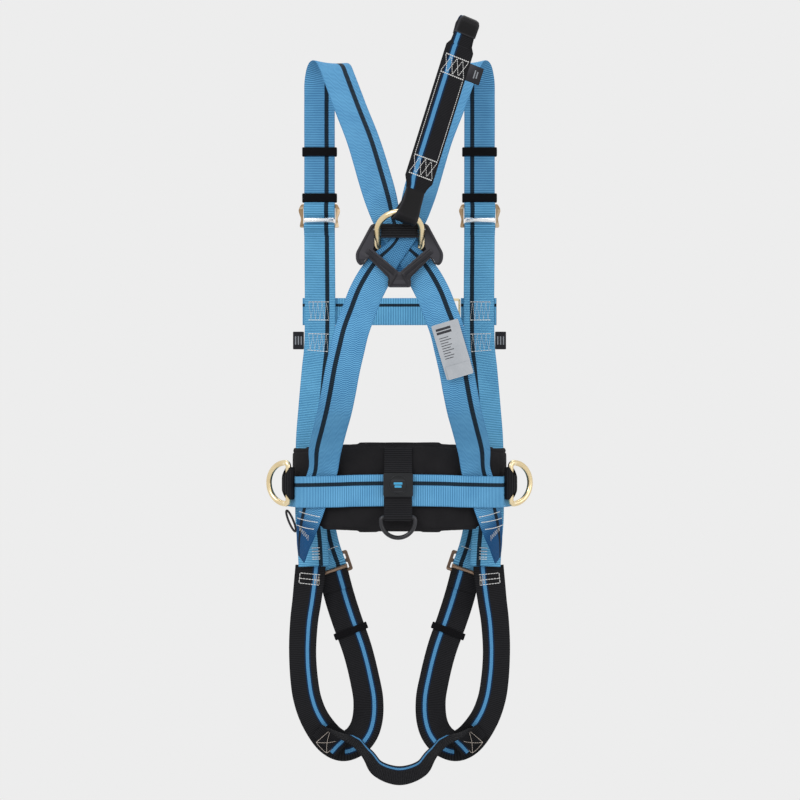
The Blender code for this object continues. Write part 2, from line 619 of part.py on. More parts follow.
def make_tool_loop():
    """Centre loop: a short strap with its plastic keeper on the belt, and a ring that hangs from it."""
    rear = BELT_CENTRE_Y - BELT_B - BELT_LIFT
    x = TOOL_RING_PIVOT[0]
    pivot_y, pivot_z = TOOL_RING_PIVOT[1:]
    radius = 0.0044
    route = [(rear - 0.0012 + 0.0042, -0.5480), (rear - 0.0012 + 0.0040, -0.5700), (rear - 0.0034, -0.5840),
             (rear - 0.0036, -0.6070), (rear - 0.0036, -0.6280)]
    points = [(x, y, z) for y, z in route]
    for step in range(8):
        angle = math.radians(165 + 190 * step / 7)
        points.append((x, pivot_y + radius * math.cos(angle), pivot_z + radius * math.sin(angle)))
    count = len(points)
    data = strip_mesh("tool_loop_strap", np.array(points), np.tile(np.array((1.0, 0, 0)), (count, 1)),
                      np.full(count, 0.039))
    thicken(add("tool_loop_strap", data, BLACK_WEB), 0.0018)
    flat_piece("tool_loop_keeper", [rounded(0.0205, 0.0165, 0.003)], 0.0030, PLASTIC,
               facing_back((x, rear - 0.0066, -0.5990)))
    half, depth = 0.0235, 0.028
    outline = d_outline(half, depth, 0.004, 12)
    hanging = Matrix.Translation(TOOL_RING_PIVOT) @ Matrix.Rotation(math.pi, 4, "Y")
    wire("tool_ring", outline, 0.0030, DARK_STEEL, hanging)


def make_gear_loop():
    """Small textile loop at the left hip."""
    x, y, z = -0.1560, 0.0140, -0.6560
    points = []
    for step in range(16):
        angle = 2 * math.pi * step / 16
        points.append((x + 0.0035 * math.sin(angle) - 0.006 * math.cos(angle), y, z + 0.0150 * math.cos(angle)))
    wire("gear_loop", points, 0.0016, BLACK_WEB, Matrix.Identity(4))


# ---- legs ----

def make_legs():
    """Leg loops, their buckles and keepers, and the strap between them."""
    for side, mirror, sign in (("left", list, -1), ("right", mirrored, 1)):
        strap(f"leg_strap_{side}", mirror(LEG_ROUTE), 44, BLACK_WEB)
        strap(f"buckle_strap_{side}", mirror(BUCKLE_STRAP_ROUTE), 8, BLUE)
        roll = sign * math.radians(-19)
        place = (sign * 0.1010, 0.0745, -0.7290)
        matrix = facing_back(place, roll=roll)
        holes = [rounded(0.0240, 0.0040, 0.0015, (0, 0.0070)), rounded(0.0240, 0.0045, 0.0015, (0, -0.0065))]
        flat_piece(f"leg_buckle_frame_{side}", [rounded(0.0285, 0.0155, 0.003)] + holes, 0.0028,
                   DARK_BRONZE, matrix)
        offset = Vector((0.0065 * math.sin(roll), -0.0062, -0.0065 * math.cos(roll)))
        round_bar(f"leg_buckle_bar_{side}", 0.0030, 0.044, DARK_BRONZE, Vector(place) + offset, roll)
        points = smooth(mirror(LEG_ROUTE), 200)
        at = int(np.argmin(np.linalg.norm(points[:, :3] - np.array((sign * 0.0721, 0.067, -0.8245)), axis=1)))
        width_way = across(points)[at]
        travel = np.gradient(points[:, :3], axis=0)[at]
        band(f"leg_keeper_{side}", points[at, :3], width_way, np.cross(travel, width_way),
             WEBBING / 2 + 0.0030, 0.0030, 0.012, BLACK_WEB)
    other_half = mirrored(SUB_PELVIC_HALF[-2::-1])
    strap("sub_pelvic_strap", SUB_PELVIC_HALF + other_half, 36, BLACK_WEB)


make_shoulder_straps()
make_front_straps()
make_keepers()
make_adjusters()
make_dorsal_plate()
make_dorsal_ring()
make_extension()
make_chest()
make_label()
make_pad()
make_belt()
make_side_rings()
make_tool_loop()
make_gear_loop()
make_legs()
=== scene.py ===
"""Visual model of a full-body safety harness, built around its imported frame.

Metres, +Z up. The back of the harness faces -Y, and the wearer's front is +Y.
"""

import logging
import math
from dataclasses import dataclass, field
from enum import Enum

import bpy
import numpy as np
from mathutils import Matrix, Vector


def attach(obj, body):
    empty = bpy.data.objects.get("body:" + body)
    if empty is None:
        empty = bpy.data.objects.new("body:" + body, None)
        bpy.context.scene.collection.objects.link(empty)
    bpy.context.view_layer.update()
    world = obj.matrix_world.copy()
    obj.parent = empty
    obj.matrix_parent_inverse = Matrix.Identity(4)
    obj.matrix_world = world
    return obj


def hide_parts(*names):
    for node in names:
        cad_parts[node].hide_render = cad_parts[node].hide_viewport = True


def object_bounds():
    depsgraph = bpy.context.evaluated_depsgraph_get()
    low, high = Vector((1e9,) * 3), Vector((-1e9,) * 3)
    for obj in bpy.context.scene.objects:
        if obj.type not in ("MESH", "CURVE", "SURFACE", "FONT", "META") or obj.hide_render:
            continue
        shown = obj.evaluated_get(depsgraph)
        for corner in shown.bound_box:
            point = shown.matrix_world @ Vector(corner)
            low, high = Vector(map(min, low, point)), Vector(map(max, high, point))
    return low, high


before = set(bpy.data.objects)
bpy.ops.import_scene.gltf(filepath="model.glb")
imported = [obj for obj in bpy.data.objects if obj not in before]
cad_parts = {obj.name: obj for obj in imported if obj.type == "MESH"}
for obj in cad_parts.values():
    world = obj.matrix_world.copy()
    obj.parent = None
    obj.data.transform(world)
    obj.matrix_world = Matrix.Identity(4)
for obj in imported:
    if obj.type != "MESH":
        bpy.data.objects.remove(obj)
CAD_BOX = [[float(v) for v in corner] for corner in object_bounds()]

LOG = logging.getLogger("harness")
ROOT = "harness"
Array = np.ndarray
Outline = list[tuple[float, float]]

WEBBING = 0.045          # width of the main webbing
FRONT_X = 0.1176         # distance of a front strap from the middle
FRONT_Y = 0.050          # plane of the front straps
BELT_Z = -0.607          # height of the belt's middle
BELT_CENTRE_Y = 0.052    # centre of the belt's oval
BELT_A = 0.158           # half width of the oval
BELT_B = 0.092           # half depth of the oval
BELT_POWER = 2.6         # squareness of the oval
BELT_LIFT = 0.0062       # distance of the belt webbing from the oval
PLATE_Y = -0.1195        # middle plane of the dorsal plate
PLATE_Z = -0.292         # height of the dorsal plate's middle

# Routes of the left side: x, y, z of the middle line, then the direction that the outer face looks in.
SHOULDER_ROUTE = [
    (-0.1176, 0.050, -0.2160, 0, 1, 0), (-0.1176, 0.050, -0.1290, 0, 1, 0),
    (-0.1176, 0.050, -0.0410, 0, 1, 0),
    (-0.1168, 0.048, -0.0130, 0, 1, 0.2), (-0.1110, 0.037, 0.0020, 0, 0.55, 0.85),
    (-0.1010, 0.022, 0.0040, 0, -0.1, 1), (-0.0920, 0.007, -0.0060, 0, -0.75, 0.65),
    (-0.0855, -0.005, -0.0240, 0, -1, 0.45), (-0.0760, -0.020, -0.0515, 0, -1, 0.45),
    (-0.0670, -0.034, -0.0775, 0, -1, 0.5), (-0.0498, -0.060, -0.1255, 0, -1, 0.5),
    (-0.0323, -0.094, -0.1870, -0.14, -1, 0.5), (-0.0242, -0.109, -0.2165, -0.14, -1, 0.3),
    (-0.0150, -0.1145, -0.2480, -0.05, -1, 0.1), (0.0, -0.1150, -0.2770, 0, -1, 0),
    (0.0230, -0.1152, -0.3040, 0, -1, 0), (0.0430, -0.1160, -0.3380, -0.03, -1, 0.1),
    (0.0530, -0.1250, -0.3650, -0.05, -1, 0.25), (0.0619, -0.1350, -0.3910, 0, -1, 0.2),
    (0.0680, -0.1400, -0.4170, 0, -1, 0), (0.0740, -0.1390, -0.4430, 0, -1, -0.15),
    (0.0790, -0.1330, -0.4690, 0, -1, -0.3), (0.0850, -0.1190, -0.4950, 0, -1, -0.45),
    (0.0935, -0.0900, -0.5220, 0, -1, -0.7), (0.1030, -0.0550, -0.5530, 0.2, -1, -0.6),
    (0.1080, -0.0305, -0.5840, 0.45, -1, -0.1), (0.1160, -0.0260, -0.6070, 0.5, -1, 0),
    (0.1220, -0.0240, -0.6270, 0.6, -1, 0), (0.1265, -0.0210, -0.6430, 0.75, -1, 0),
    (0.1320, -0.0145, -0.6620, 1.0, -1, 0), (0.1370, -0.0035, -0.6820, 1.3, -0.8, 0),
    (0.1405, 0.0100, -0.7030, 1.5, -0.6, 0), (0.1425, 0.0240, -0.7200, 1.5, -0.5, 0)]
FRONT_ROUTE = [
    (-0.1176, 0.050, -0.2225, 0, 1, 0), (-0.1176, 0.050, -0.4000, 0, 1, 0),
    (-0.1213, 0.050, -0.4380, 0, 1, 0),
    (-0.1266, 0.051, -0.4970, 0, 1, 0), (-0.1300, 0.052, -0.5410, 0, 1, 0),
    (-0.1310, 0.053, -0.6000, 0, 1, 0),
    (-0.1310, 0.054, -0.6590, 0, 1, 0), (-0.1280, 0.055, -0.6960, 0, 1, 0),
    (-0.1265, 0.055, -0.7270, 0, 1, 0)]
LEG_ROUTE = [
    (-0.1300, 0.0625, -0.7000, 0, -1, 0), (-0.1323, 0.0620, -0.7340, 0, -1, 0),
    (-0.1370, 0.0580, -0.7780, -0.25, -1, 0), (-0.1405, 0.0530, -0.8060, -0.35, -1, 0),
    (-0.1422, 0.0450, -0.8490, -0.4, -1, -0.1), (-0.1389, 0.0350, -0.8900, -0.35, -1, -0.1),
    (-0.1333, 0.0290, -0.9180, -0.3, -1, -0.1), (-0.1216, 0.0235, -0.9450, -0.2, -1, -0.1),
    (-0.0990, 0.0225, -0.9740, 0, -1, 0), (-0.0819, 0.0260, -0.9830, 0, -1, 0),
    (-0.0650, 0.0320, -0.9790, 0, -1, 0), (-0.0533, 0.0370, -0.9670, 0, -1, 0),
    (-0.0470, 0.0420, -0.9500, 0.1, -1, 0), (-0.0458, 0.0480, -0.9226, 0.25, -1, 0),
    (-0.0509, 0.0540, -0.8948, 0.35, -1, 0), (-0.0622, 0.0620, -0.8523, 0.35, -1, 0),
    (-0.0782, 0.0700, -0.8095, 0.25, -1, 0), (-0.0883, 0.0760, -0.7804, 0.1, -1, 0),
    (-0.0965, 0.0790, -0.7512, 0, -1, 0), (-0.1010, 0.0805, -0.7320, 0, -1, 0)]
BUCKLE_ROUTE = [
    (-0.1240, 0.0650, -0.6260, 0, -1, 0), (-0.1182, 0.0670, -0.6680, 0, -1, 0),
    (-0.1120, 0.0690, -0.6980, 0, -1, 0), (-0.1035, 0.0700, -0.7240, 0, -1, 0)]
SUB_PELVIC_HALF = [
    (-0.1086, 0.0165, -0.9800, 0, -1, 0), (-0.0960, 0.0160, -0.9665, 0, -1, 0),
    (-0.0860, 0.0060, -0.9590, 0.2, -0.8, -0.6), (-0.0740, -0.0060, -0.9610, 0, -0.2, -1),
    (-0.0600, -0.0095, -0.9680, 0, 0, -1), (-0.0450, -0.0100, -0.9810, 0, 0.1, -1),
    (-0.0300, -0.0100, -0.9965, 0, 0.2, -1), (0.0, -0.0100, -1.0140, 0, 0.27, -0.96)]


class Side(Enum):
    """The wearer's two sides, with the sign of their X."""

    LEFT = -1
    RIGHT = 1

    @property
    def word(self) -> str:
        """The side's name as the pieces use it."""
        return self.name.lower()

    def route(self, left: list[tuple]) -> list[tuple]:
        """This side's copy of a route of the left side."""
        if self is Side.LEFT:
            return list(left)
        return [(-x, y, z, -nx, ny, nz) for x, y, z, nx, ny, nz in left]


# ---- mesh kernel ----

def srgb(red: int, green: int, blue: int) -> tuple[float, float, float, float]:
    """Linear colour of an sRGB triple of 0 to 255.

    Args:
        red, green, blue: the sRGB values.

    Returns:
        The linear colour with full alpha.
    """
    linear = [((v / 255 + 0.055) / 1.055) ** 2.4 if v > 10 else v / 255 / 12.92 for v in (red, green, blue)]
    return (linear[0], linear[1], linear[2], 1.0)


def unit(vectors: Array) -> Array:
    """Each row divided by its length."""
    return vectors / np.maximum(np.linalg.norm(vectors, axis=-1, keepdims=True), 1e-12)


def travelled(points: Array) -> Array:
    """Distance along a polyline at each of its points."""
    return np.concatenate([[0.0], np.cumsum(np.linalg.norm(np.diff(points[:, :3], axis=0), axis=1))])


def smooth(route: list[tuple], samples: int) -> Array:
    """Centripetal Catmull-Rom curve through a route: each span blends its four nearest rows.

    Args:
        route: rows of any number of columns, of which the first three are a place.
        samples: how many rows come back, evenly spaced along the curve.

    Returns:
        An array of samples rows.
    """
    points = np.array(route, float)
    points = np.vstack([2 * points[0] - points[1], points, 2 * points[-1] - points[-2]])
    knots = np.concatenate([[0], np.cumsum(np.linalg.norm(np.diff(points[:, :3], axis=0), axis=1) ** 0.5)])
    spans = []
    for i in range(1, len(points) - 2):
        t0, t1, t2, t3 = knots[i - 1:i + 3]
        p0, p1, p2, p3 = points[i - 1:i + 3]
        t = np.linspace(t1, t2, 24, endpoint=False)[:, None]
        a1 = (t1 - t) / (t1 - t0) * p0 + (t - t0) / (t1 - t0) * p1
        a2 = (t2 - t) / (t2 - t1) * p1 + (t - t1) / (t2 - t1) * p2
        a3 = (t3 - t) / (t3 - t2) * p2 + (t - t2) / (t3 - t2) * p3
        b1 = (t2 - t) / (t2 - t0) * a1 + (t - t0) / (t2 - t0) * a2
        b2 = (t3 - t) / (t3 - t1) * a2 + (t - t1) / (t3 - t1) * a3
        spans.append((t2 - t) / (t2 - t1) * b1 + (t - t1) / (t2 - t1) * b2)
    found = np.vstack(spans + [points[-2][None, :]])
    run = travelled(found)
    even = np.linspace(0, run[-1], samples)
    return np.column_stack([np.interp(even, run, found[:, k]) for k in range(found.shape[1])])


def mesh_object(name: str, points: Array, faces: list | Array, corner_uv: Array | None = None,
                sharp: float = 40.0, flat: bool = False) -> bpy.types.Object:
    """A mesh object at the origin, with its faces turned outwards.

    Args:
        name: the piece's name.
        points: one place per row.
        faces: vertex numbers of each face.
        corner_uv: UV of each face corner, face after face, or None.
        sharp: angle in degrees past which an edge stays sharp.
        flat: whether the faces are left unsmoothed.

    Returns:
        The new object, linked to the scene.
    """
    data = bpy.data.meshes.new(name)
    data.from_pydata(points.tolist(), [], [list(map(int, f)) for f in faces])
    if corner_uv is not None:
        layer = data.uv_layers.new(name="weave")
        layer.data.foreach_set("uv", corner_uv.astype(np.float32).ravel())
    data.validate()
    data.calc_loop_triangles()
    triangles = np.empty(len(data.loop_triangles) * 3, np.int32)
    data.loop_triangles.foreach_get("vertices", triangles)
    a, b, c = (points[triangles.reshape(-1, 3)[:, k]] for k in range(3))
    if np.einsum("ij,ij->i", a, np.cross(b, c)).sum() < 0:
        data.flip_normals()
    if not flat:
        data.polygons.foreach_set("use_smooth", np.ones(len(data.polygons), bool))
        data.set_sharp_from_angle(angle=math.radians(sharp))
    piece = bpy.data.objects.new(name, data)
    bpy.context.scene.collection.objects.link(piece)
    return piece


def tube_grid(name: str, grid: Array, uv: Array | None = None, closed: bool = False,
              sharp: float = 40.0) -> bpy.types.Object:
    """A tube whose cross-sections are the rows of a grid, closed on itself or capped.

    Args:
        name: the piece's name.
        grid: places, of shape (sections, points in a section, 3).
        uv: UVs of shape (bands, points in a section + 1, 2, 2): start and end of each band of faces.
        closed: whether the last section joins the first.
        sharp: angle in degrees past which an edge stays sharp.

    Returns:
        The new object.
    """
    rows, columns = grid.shape[:2]
    bands = rows if closed else rows - 1
    r, c = np.meshgrid(np.arange(bands), np.arange(columns), indexing="ij")
    r2, c2 = (r + 1) % rows, (c + 1) % columns
    corners = [r * columns + c, r * columns + c2, r2 * columns + c2, r2 * columns + c]
    faces = np.stack(corners, -1).reshape(-1, 4)
    faces = faces.tolist()
    corner = None
    if uv is not None:
        corner = np.stack([uv[r, c, 0], uv[r, c + 1, 0], uv[r, c + 1, 1], uv[r, c, 1]], 2).reshape(-1, 2)
    if not closed:
        faces.append(list(range(columns - 1, -1, -1)))
        faces.append(list(range((rows - 1) * columns, rows * columns)))
        if corner is not None:
            first, last = uv[0, :columns, 0][::-1], uv[-1, :columns, 1]
            corner = np.vstack([corner, first, last])
    return mesh_object(name, grid.reshape(-1, 3), faces, corner, sharp)


class Layout(Enum):
    """Where a webbing's stripe lies on a stretch of it."""

    PLAIN = 0
    AS_WOVEN = 1
    TURNED = 2


@dataclass
class Ribbon:
    """A run of flat webbing: its middle line, width direction, outer face, width and weight of painted shade
    at each station.
    """

    centre: Array
    side: Array
    face: Array
    width: Array
    thick: float = 0.002
    closed: bool = False
    # deep: weight of painted shade at each station, from nought to one.
    deep: Array | None = None

    @classmethod
    def along(cls, route: list[tuple], samples: int, width: float = WEBBING, **more: float) -> "Ribbon":
        """Webbing along a route of places and outer directions.

        The width direction is the outer direction times the direction of travel.

        Args:
            route: rows of x, y, z and the outer direction.
            samples: number of stations.
            width: the webbing's width.
            more: other fields.

        Returns:
            The ribbon.
        """
        points = smooth(route, samples)
        travel = unit(np.gradient(points[:, :3], axis=0))
        side = unit(np.cross(points[:, 3:6], travel))
        return cls(points[:, :3], side, unit(np.cross(travel, side)), np.full(samples, width), **more)

    @classmethod
    def swept(cls, centre: Array, side: Array, width: Array | float, **more: float) -> "Ribbon":
        """Webbing along a middle line whose width direction is the same all along.

        Args:
            centre: places of the middle line.
            side: the width direction.
            width: width at each station, or one width.
            more: other fields.

        Returns:
            The ribbon.
        """
        closed = bool(more.get("closed", False))
        if closed:
            travel = unit(np.roll(centre, -1, 0) - np.roll(centre, 1, 0))
        else:
            travel = unit(np.gradient(centre, axis=0))
        across = np.tile(np.asarray(side, float), (len(centre), 1))
        widths = np.full(len(centre), width) if np.isscalar(width) else np.asarray(width)
        return cls(centre, across, unit(np.cross(travel, across)), widths, **more)

    @property
    def run(self) -> Array:
        """Distance along the middle line at each station."""
        return travelled(self.centre)

    def place(self, u: Array, v: Array, lift: float) -> tuple[Array, Array]:
        """Places on the webbing, and the outer direction there.

        Args:
            u: distances from the middle line along the width direction.
            v: distances along the middle line.
            lift: height above the middle surface.

        Returns:
            Places and unit outer directions.
        """
        u, v = np.broadcast_arrays(np.asarray(u, float), np.asarray(v, float))
        run = self.run

        def at(values: Array) -> Array:
            """The values at v, by straight interpolation."""
            return np.column_stack([np.interp(v, run, values[:, k]) for k in range(3)])

        side, face = unit(at(self.side)), unit(at(self.face))
        return at(self.centre) + side * u[:, None] + face * lift, face

    def build(self, name: str, layout: Array | None = None, columns: int = 17) -> bpy.types.Object:
        """The webbing as a closed solid with thin rounded selvedges.

        The section's height over its width is half the thickness times
        the square root of one minus the tenth power of the place across it.

        Args:
            name: the piece's name.
            layout: a Layout value for each station, or None for all as woven.
            columns: points across the width.

        Returns:
            The new object, with its UV in metres across and along.
        """
        count = len(self.centre)
        across = np.sin(np.linspace(-0.5, 0.5, columns) * math.pi)
        high = self.thick / 2 * np.sqrt(np.clip(1 - np.abs(across) ** 10, 0, 1))
        s = np.concatenate([across, across[-2:0:-1]])
        h = np.concatenate([high, -high[-2:0:-1]])
        run = self.run
        ripple = 0.00018 * np.sin(run * 95) + 0.00012 * np.sin(run * 213 + 1.3)
        grid = (self.centre[:, None, :] + self.side[:, None, :] * (s * self.width[:, None] / 2)[..., None]
                + self.face[:, None, :] * (h + ripple[:, None] * (1 - s ** 2))[..., None])
        marks = np.full(count, Layout.AS_WOVEN.value) if layout is None else np.asarray(layout)
        bands = count if self.closed else count - 1
        wide = float(self.width.max())
        woven = (np.append(s, s[0]) + 1) / 2 * wide
        kinds = marks[:bands, None]
        u = np.where(kinds == Layout.TURNED.value, wide - woven, woven)
        u = np.where(kinds == Layout.PLAIN.value, woven + 1.0, u)
        step = np.append(run, run[-1] + np.linalg.norm(self.centre[0] - self.centre[-1]))
        starts = np.broadcast_to(step[:bands, None], u.shape)
        ends = np.broadcast_to(step[1:bands + 1, None], u.shape)
        uv = np.stack([np.stack([u, starts], -1), np.stack([u, ends], -1)], 2)
        piece = tube_grid(name, grid, uv, self.closed, 60.0)
        # Painted shade: each station's deep weight goes to the points of its section as the deep attribute.
        if self.deep is not None:
            shade = piece.data.attributes.new("deep", "FLOAT", "POINT")
            shade.data.foreach_set("value", np.repeat(self.deep, grid.shape[1]).astype(np.float32))
        return piece

    def cut(self, first: float, last: float) -> "Ribbon":
        """The stretch of the webbing between two distances along it."""
        kept = (self.run >= first) & (self.run <= last)
        deep = None if self.deep is None else self.deep[kept]
        return Ribbon(self.centre[kept], self.side[kept], self.face[kept], self.width[kept], self.thick,
                      deep=deep)


def wire_ring(name: str, path: Array, up: Array, radius: float, sides: int = 14) -> bpy.types.Object:
    """Round wire along a closed flat path: a circle carried along it, across its direction of travel.

    Args:
        name: the piece's name.
        path: places of the wire's middle, evenly enough spaced.
        up: the unit direction square to the path's plane.
        radius: the wire's radius.
        sides: points round the wire.

    Returns:
        The new object.
    """
    travel = unit(np.roll(path, -1, 0) - np.roll(path, 1, 0))
    outward = unit(np.cross(travel, up))
    turn = np.linspace(0, 2 * math.pi, sides, endpoint=False)
    grid = (path[:, None, :] + outward[:, None, :] * (radius * np.cos(turn))[None, :, None]
            + np.asarray(up)[None, None, :] * (radius * np.sin(turn))[None, :, None])
    return tube_grid(name, grid, closed=True, sharp=80.0)


def d_path(half: float, depth: float, corner: float, arc: int = 40) -> Array:
    """A D in the X-Z plane: a straight bar on X with round corners, and a round bow above it.

    Args:
        half: half width between the legs' middles.
        depth: bar to top of the bow.
        corner: radius of the two lower corners.
        arc: points of the bow.

    Returns:
        Places of the closed path.
    """
    quarter = np.linspace(0, math.pi / 2, 7)
    bow = np.linspace(math.pi, 0, arc)
    bar = np.linspace(half - corner, corner - half, 14)[1:-1]
    inner = half - corner
    lower_left = np.column_stack([-inner - corner * np.sin(quarter), corner - corner * np.cos(quarter)])
    lower_right = np.column_stack([inner + corner * np.cos(quarter), corner - corner * np.sin(quarter)])
    top = np.column_stack([half * np.cos(bow), depth - half + half * np.sin(bow)])
    flat = np.vstack([lower_left, top, lower_right, np.column_stack([bar, np.zeros(12)])])
    return np.column_stack([flat[:, 0], np.zeros(len(flat)), flat[:, 1]])


def moved(points: Array, matrix: Matrix) -> Array:
    """Places carried by a matrix."""
    m = np.array(matrix)
    return points @ m[:3, :3].T + m[:3, 3]


def rounded(half_x: float, half_y: float, radius: float, centre: tuple[float, float] = (0, 0),
            steps: int = 5) -> Outline:
    """A rectangle with round corners, anticlockwise.

    Args:
        half_x, half_y: half sizes.
        radius: corner radius.
        centre: the middle.
        steps: spans in each corner.

    Returns:
        The outline.
    """
    points = []
    for quarter, (sx, sy) in enumerate(((1, 1), (-1, 1), (-1, -1), (1, -1))):
        for step in range(steps + 1):
            angle = math.radians(90 * quarter + 90 * step / steps)
            points.append((centre[0] + sx * (half_x - radius) + radius * math.cos(angle),
                           centre[1] + sy * (half_y - radius) + radius * math.sin(angle)))
    return points


def softened(corners: Outline, radius: float, steps: int = 4) -> Outline:
    """An outline whose corners are eased by quadratic curves.

    Args:
        corners: the sharp outline.
        radius: distance over which a corner is eased.
        steps: spans in each corner.

    Returns:
        The eased outline.
    """
    points = []
    for i, corner in enumerate(corners):
        here = np.array(corner)
        before, after = np.array(corners[i - 1]), np.array(corners[(i + 1) % len(corners)])
        start = here + unit(before - here) * radius
        end = here + unit(after - here) * radius
        for step in range(steps + 1):
            t = step / steps
            points.append(tuple((1 - t) ** 2 * start + 2 * t * (1 - t) * here + t ** 2 * end))
    return points


def facing_back(location: tuple[float, float, float], roll: float = 0.0) -> Matrix:
    """Local X to +X, local Y up and local Z to the back, turned by roll in its plane."""
    turn = Matrix.Rotation(math.pi / 2, 4, "X") @ Matrix.Rotation(roll, 4, "Z")
    return Matrix.Translation(location) @ turn


def evaluated(piece: bpy.types.Object) -> bpy.types.Mesh:
    """A mesh of the piece as its modifiers leave it."""
    bpy.context.view_layer.update()
    return bpy.data.meshes.new_from_object(piece.evaluated_get(bpy.context.evaluated_depsgraph_get()))


def plate(name: str, outlines: list[Outline], thickness: float, matrix: Matrix,
          edge: float = 0.0006) -> bpy.types.Object:
    """A flat plate with holes and rounded edges, from its outlines in the local X-Y plane.

    Args:
        name: the piece's name.
        outlines: the outer outline, then the holes.
        thickness: thickness along local Z.
        matrix: the plate's place.
        edge: radius of the rounded edges.

    Returns:
        The new object, at the origin with its place in its mesh.
    """
    curve = bpy.data.curves.new(name, "CURVE")
    curve.dimensions = "2D"
    curve.fill_mode = "BOTH"
    curve.extrude = thickness / 2
    for ring in outlines:
        spline = curve.splines.new("POLY")
        spline.points.add(len(ring) - 1)
        rows = np.column_stack([np.array(ring), np.zeros(len(ring)), np.ones(len(ring))])
        spline.points.foreach_set("co", rows.ravel())
        spline.use_cyclic_u = True
    holder = bpy.data.objects.new(name + "_outline", curve)
    bpy.context.scene.collection.objects.link(holder)
    data = evaluated(holder)
    bpy.data.objects.remove(holder)
    piece = bpy.data.objects.new(name, data)
    bpy.context.scene.collection.objects.link(piece)
    weld = piece.modifiers.new("weld", "WELD")
    weld.merge_threshold = 0.00002
    bevel = piece.modifiers.new("edges", "BEVEL")
    bevel.width = edge
    bevel.segments = 3
    bevel.limit_method = "ANGLE"
    bevel.angle_limit = math.radians(60)
    piece.data = evaluated(piece)
    piece.modifiers.clear()
    piece.name = piece.data.name = name
    piece.data.transform(matrix)
    piece.data.polygons.foreach_set("use_smooth", np.ones(len(piece.data.polygons), bool))
    piece.data.set_sharp_from_angle(angle=math.radians(35))
    return piece


def ridge(name: str, path: Array, up: Array, half_width: float, height: float,
          closed: bool) -> bpy.types.Object:
    """A low rounded ridge along a flat path: half an ellipse carried along it.

    Args:
        name: the piece's name.
        path: places of its foot's middle.
        up: unit direction in which it rises.
        half_width: half its width.
        height: its height.
        closed: whether it runs back into its start.

    Returns:
        The new object.
    """
    travel = unit(np.roll(path, -1, 0) - np.roll(path, 1, 0)) if closed else unit(np.gradient(path, axis=0))
    outward = unit(np.cross(travel, up))
    turn = np.linspace(0, 2 * math.pi, 12, endpoint=False)
    rise = np.where(np.sin(turn) > 0, height * np.sin(turn), 0.0004 * np.sin(turn))
    grid = (path[:, None, :] + outward[:, None, :] * (half_width * np.cos(turn))[None, :, None]
            + np.asarray(up)[None, None, :] * rise[None, :, None])
    return tube_grid(name, grid, closed=closed, sharp=80.0)


def lathe(name: str, profile: Array, matrix: Matrix, sides: int = 24) -> bpy.types.Object:
    """A solid of revolution: rows of (distance along local X, radius) turned about local X.

    Args:
        name: the piece's name.
        profile: the rows, from end to end.
        matrix: the piece's place.
        sides: points round the axis.

    Returns:
        The new object.
    """
    turn = np.linspace(0, 2 * math.pi, sides, endpoint=False)
    radius = np.maximum(profile[:, 1], 1e-5)[:, None]
    grid = np.stack([np.broadcast_to(profile[:, 0][:, None], (len(profile), sides)),
                     radius * np.cos(turn), radius * np.sin(turn)], -1)
    return tube_grid(name, moved(grid.reshape(-1, 3), matrix).reshape(grid.shape), sharp=50.0)


def joined(name: str, pieces: list[bpy.types.Object]) -> bpy.types.Object:
    """Several objects made one, under a new name."""
    for item in bpy.context.selected_objects:
        item.select_set(False)
    for item in pieces:
        item.select_set(True)
    bpy.context.view_layer.objects.active = pieces[0]
    bpy.ops.object.join()
    pieces[0].name = name
    pieces[0].data.name = name
    pieces[0].select_set(False)
    return pieces[0]


# ---- sewing ----

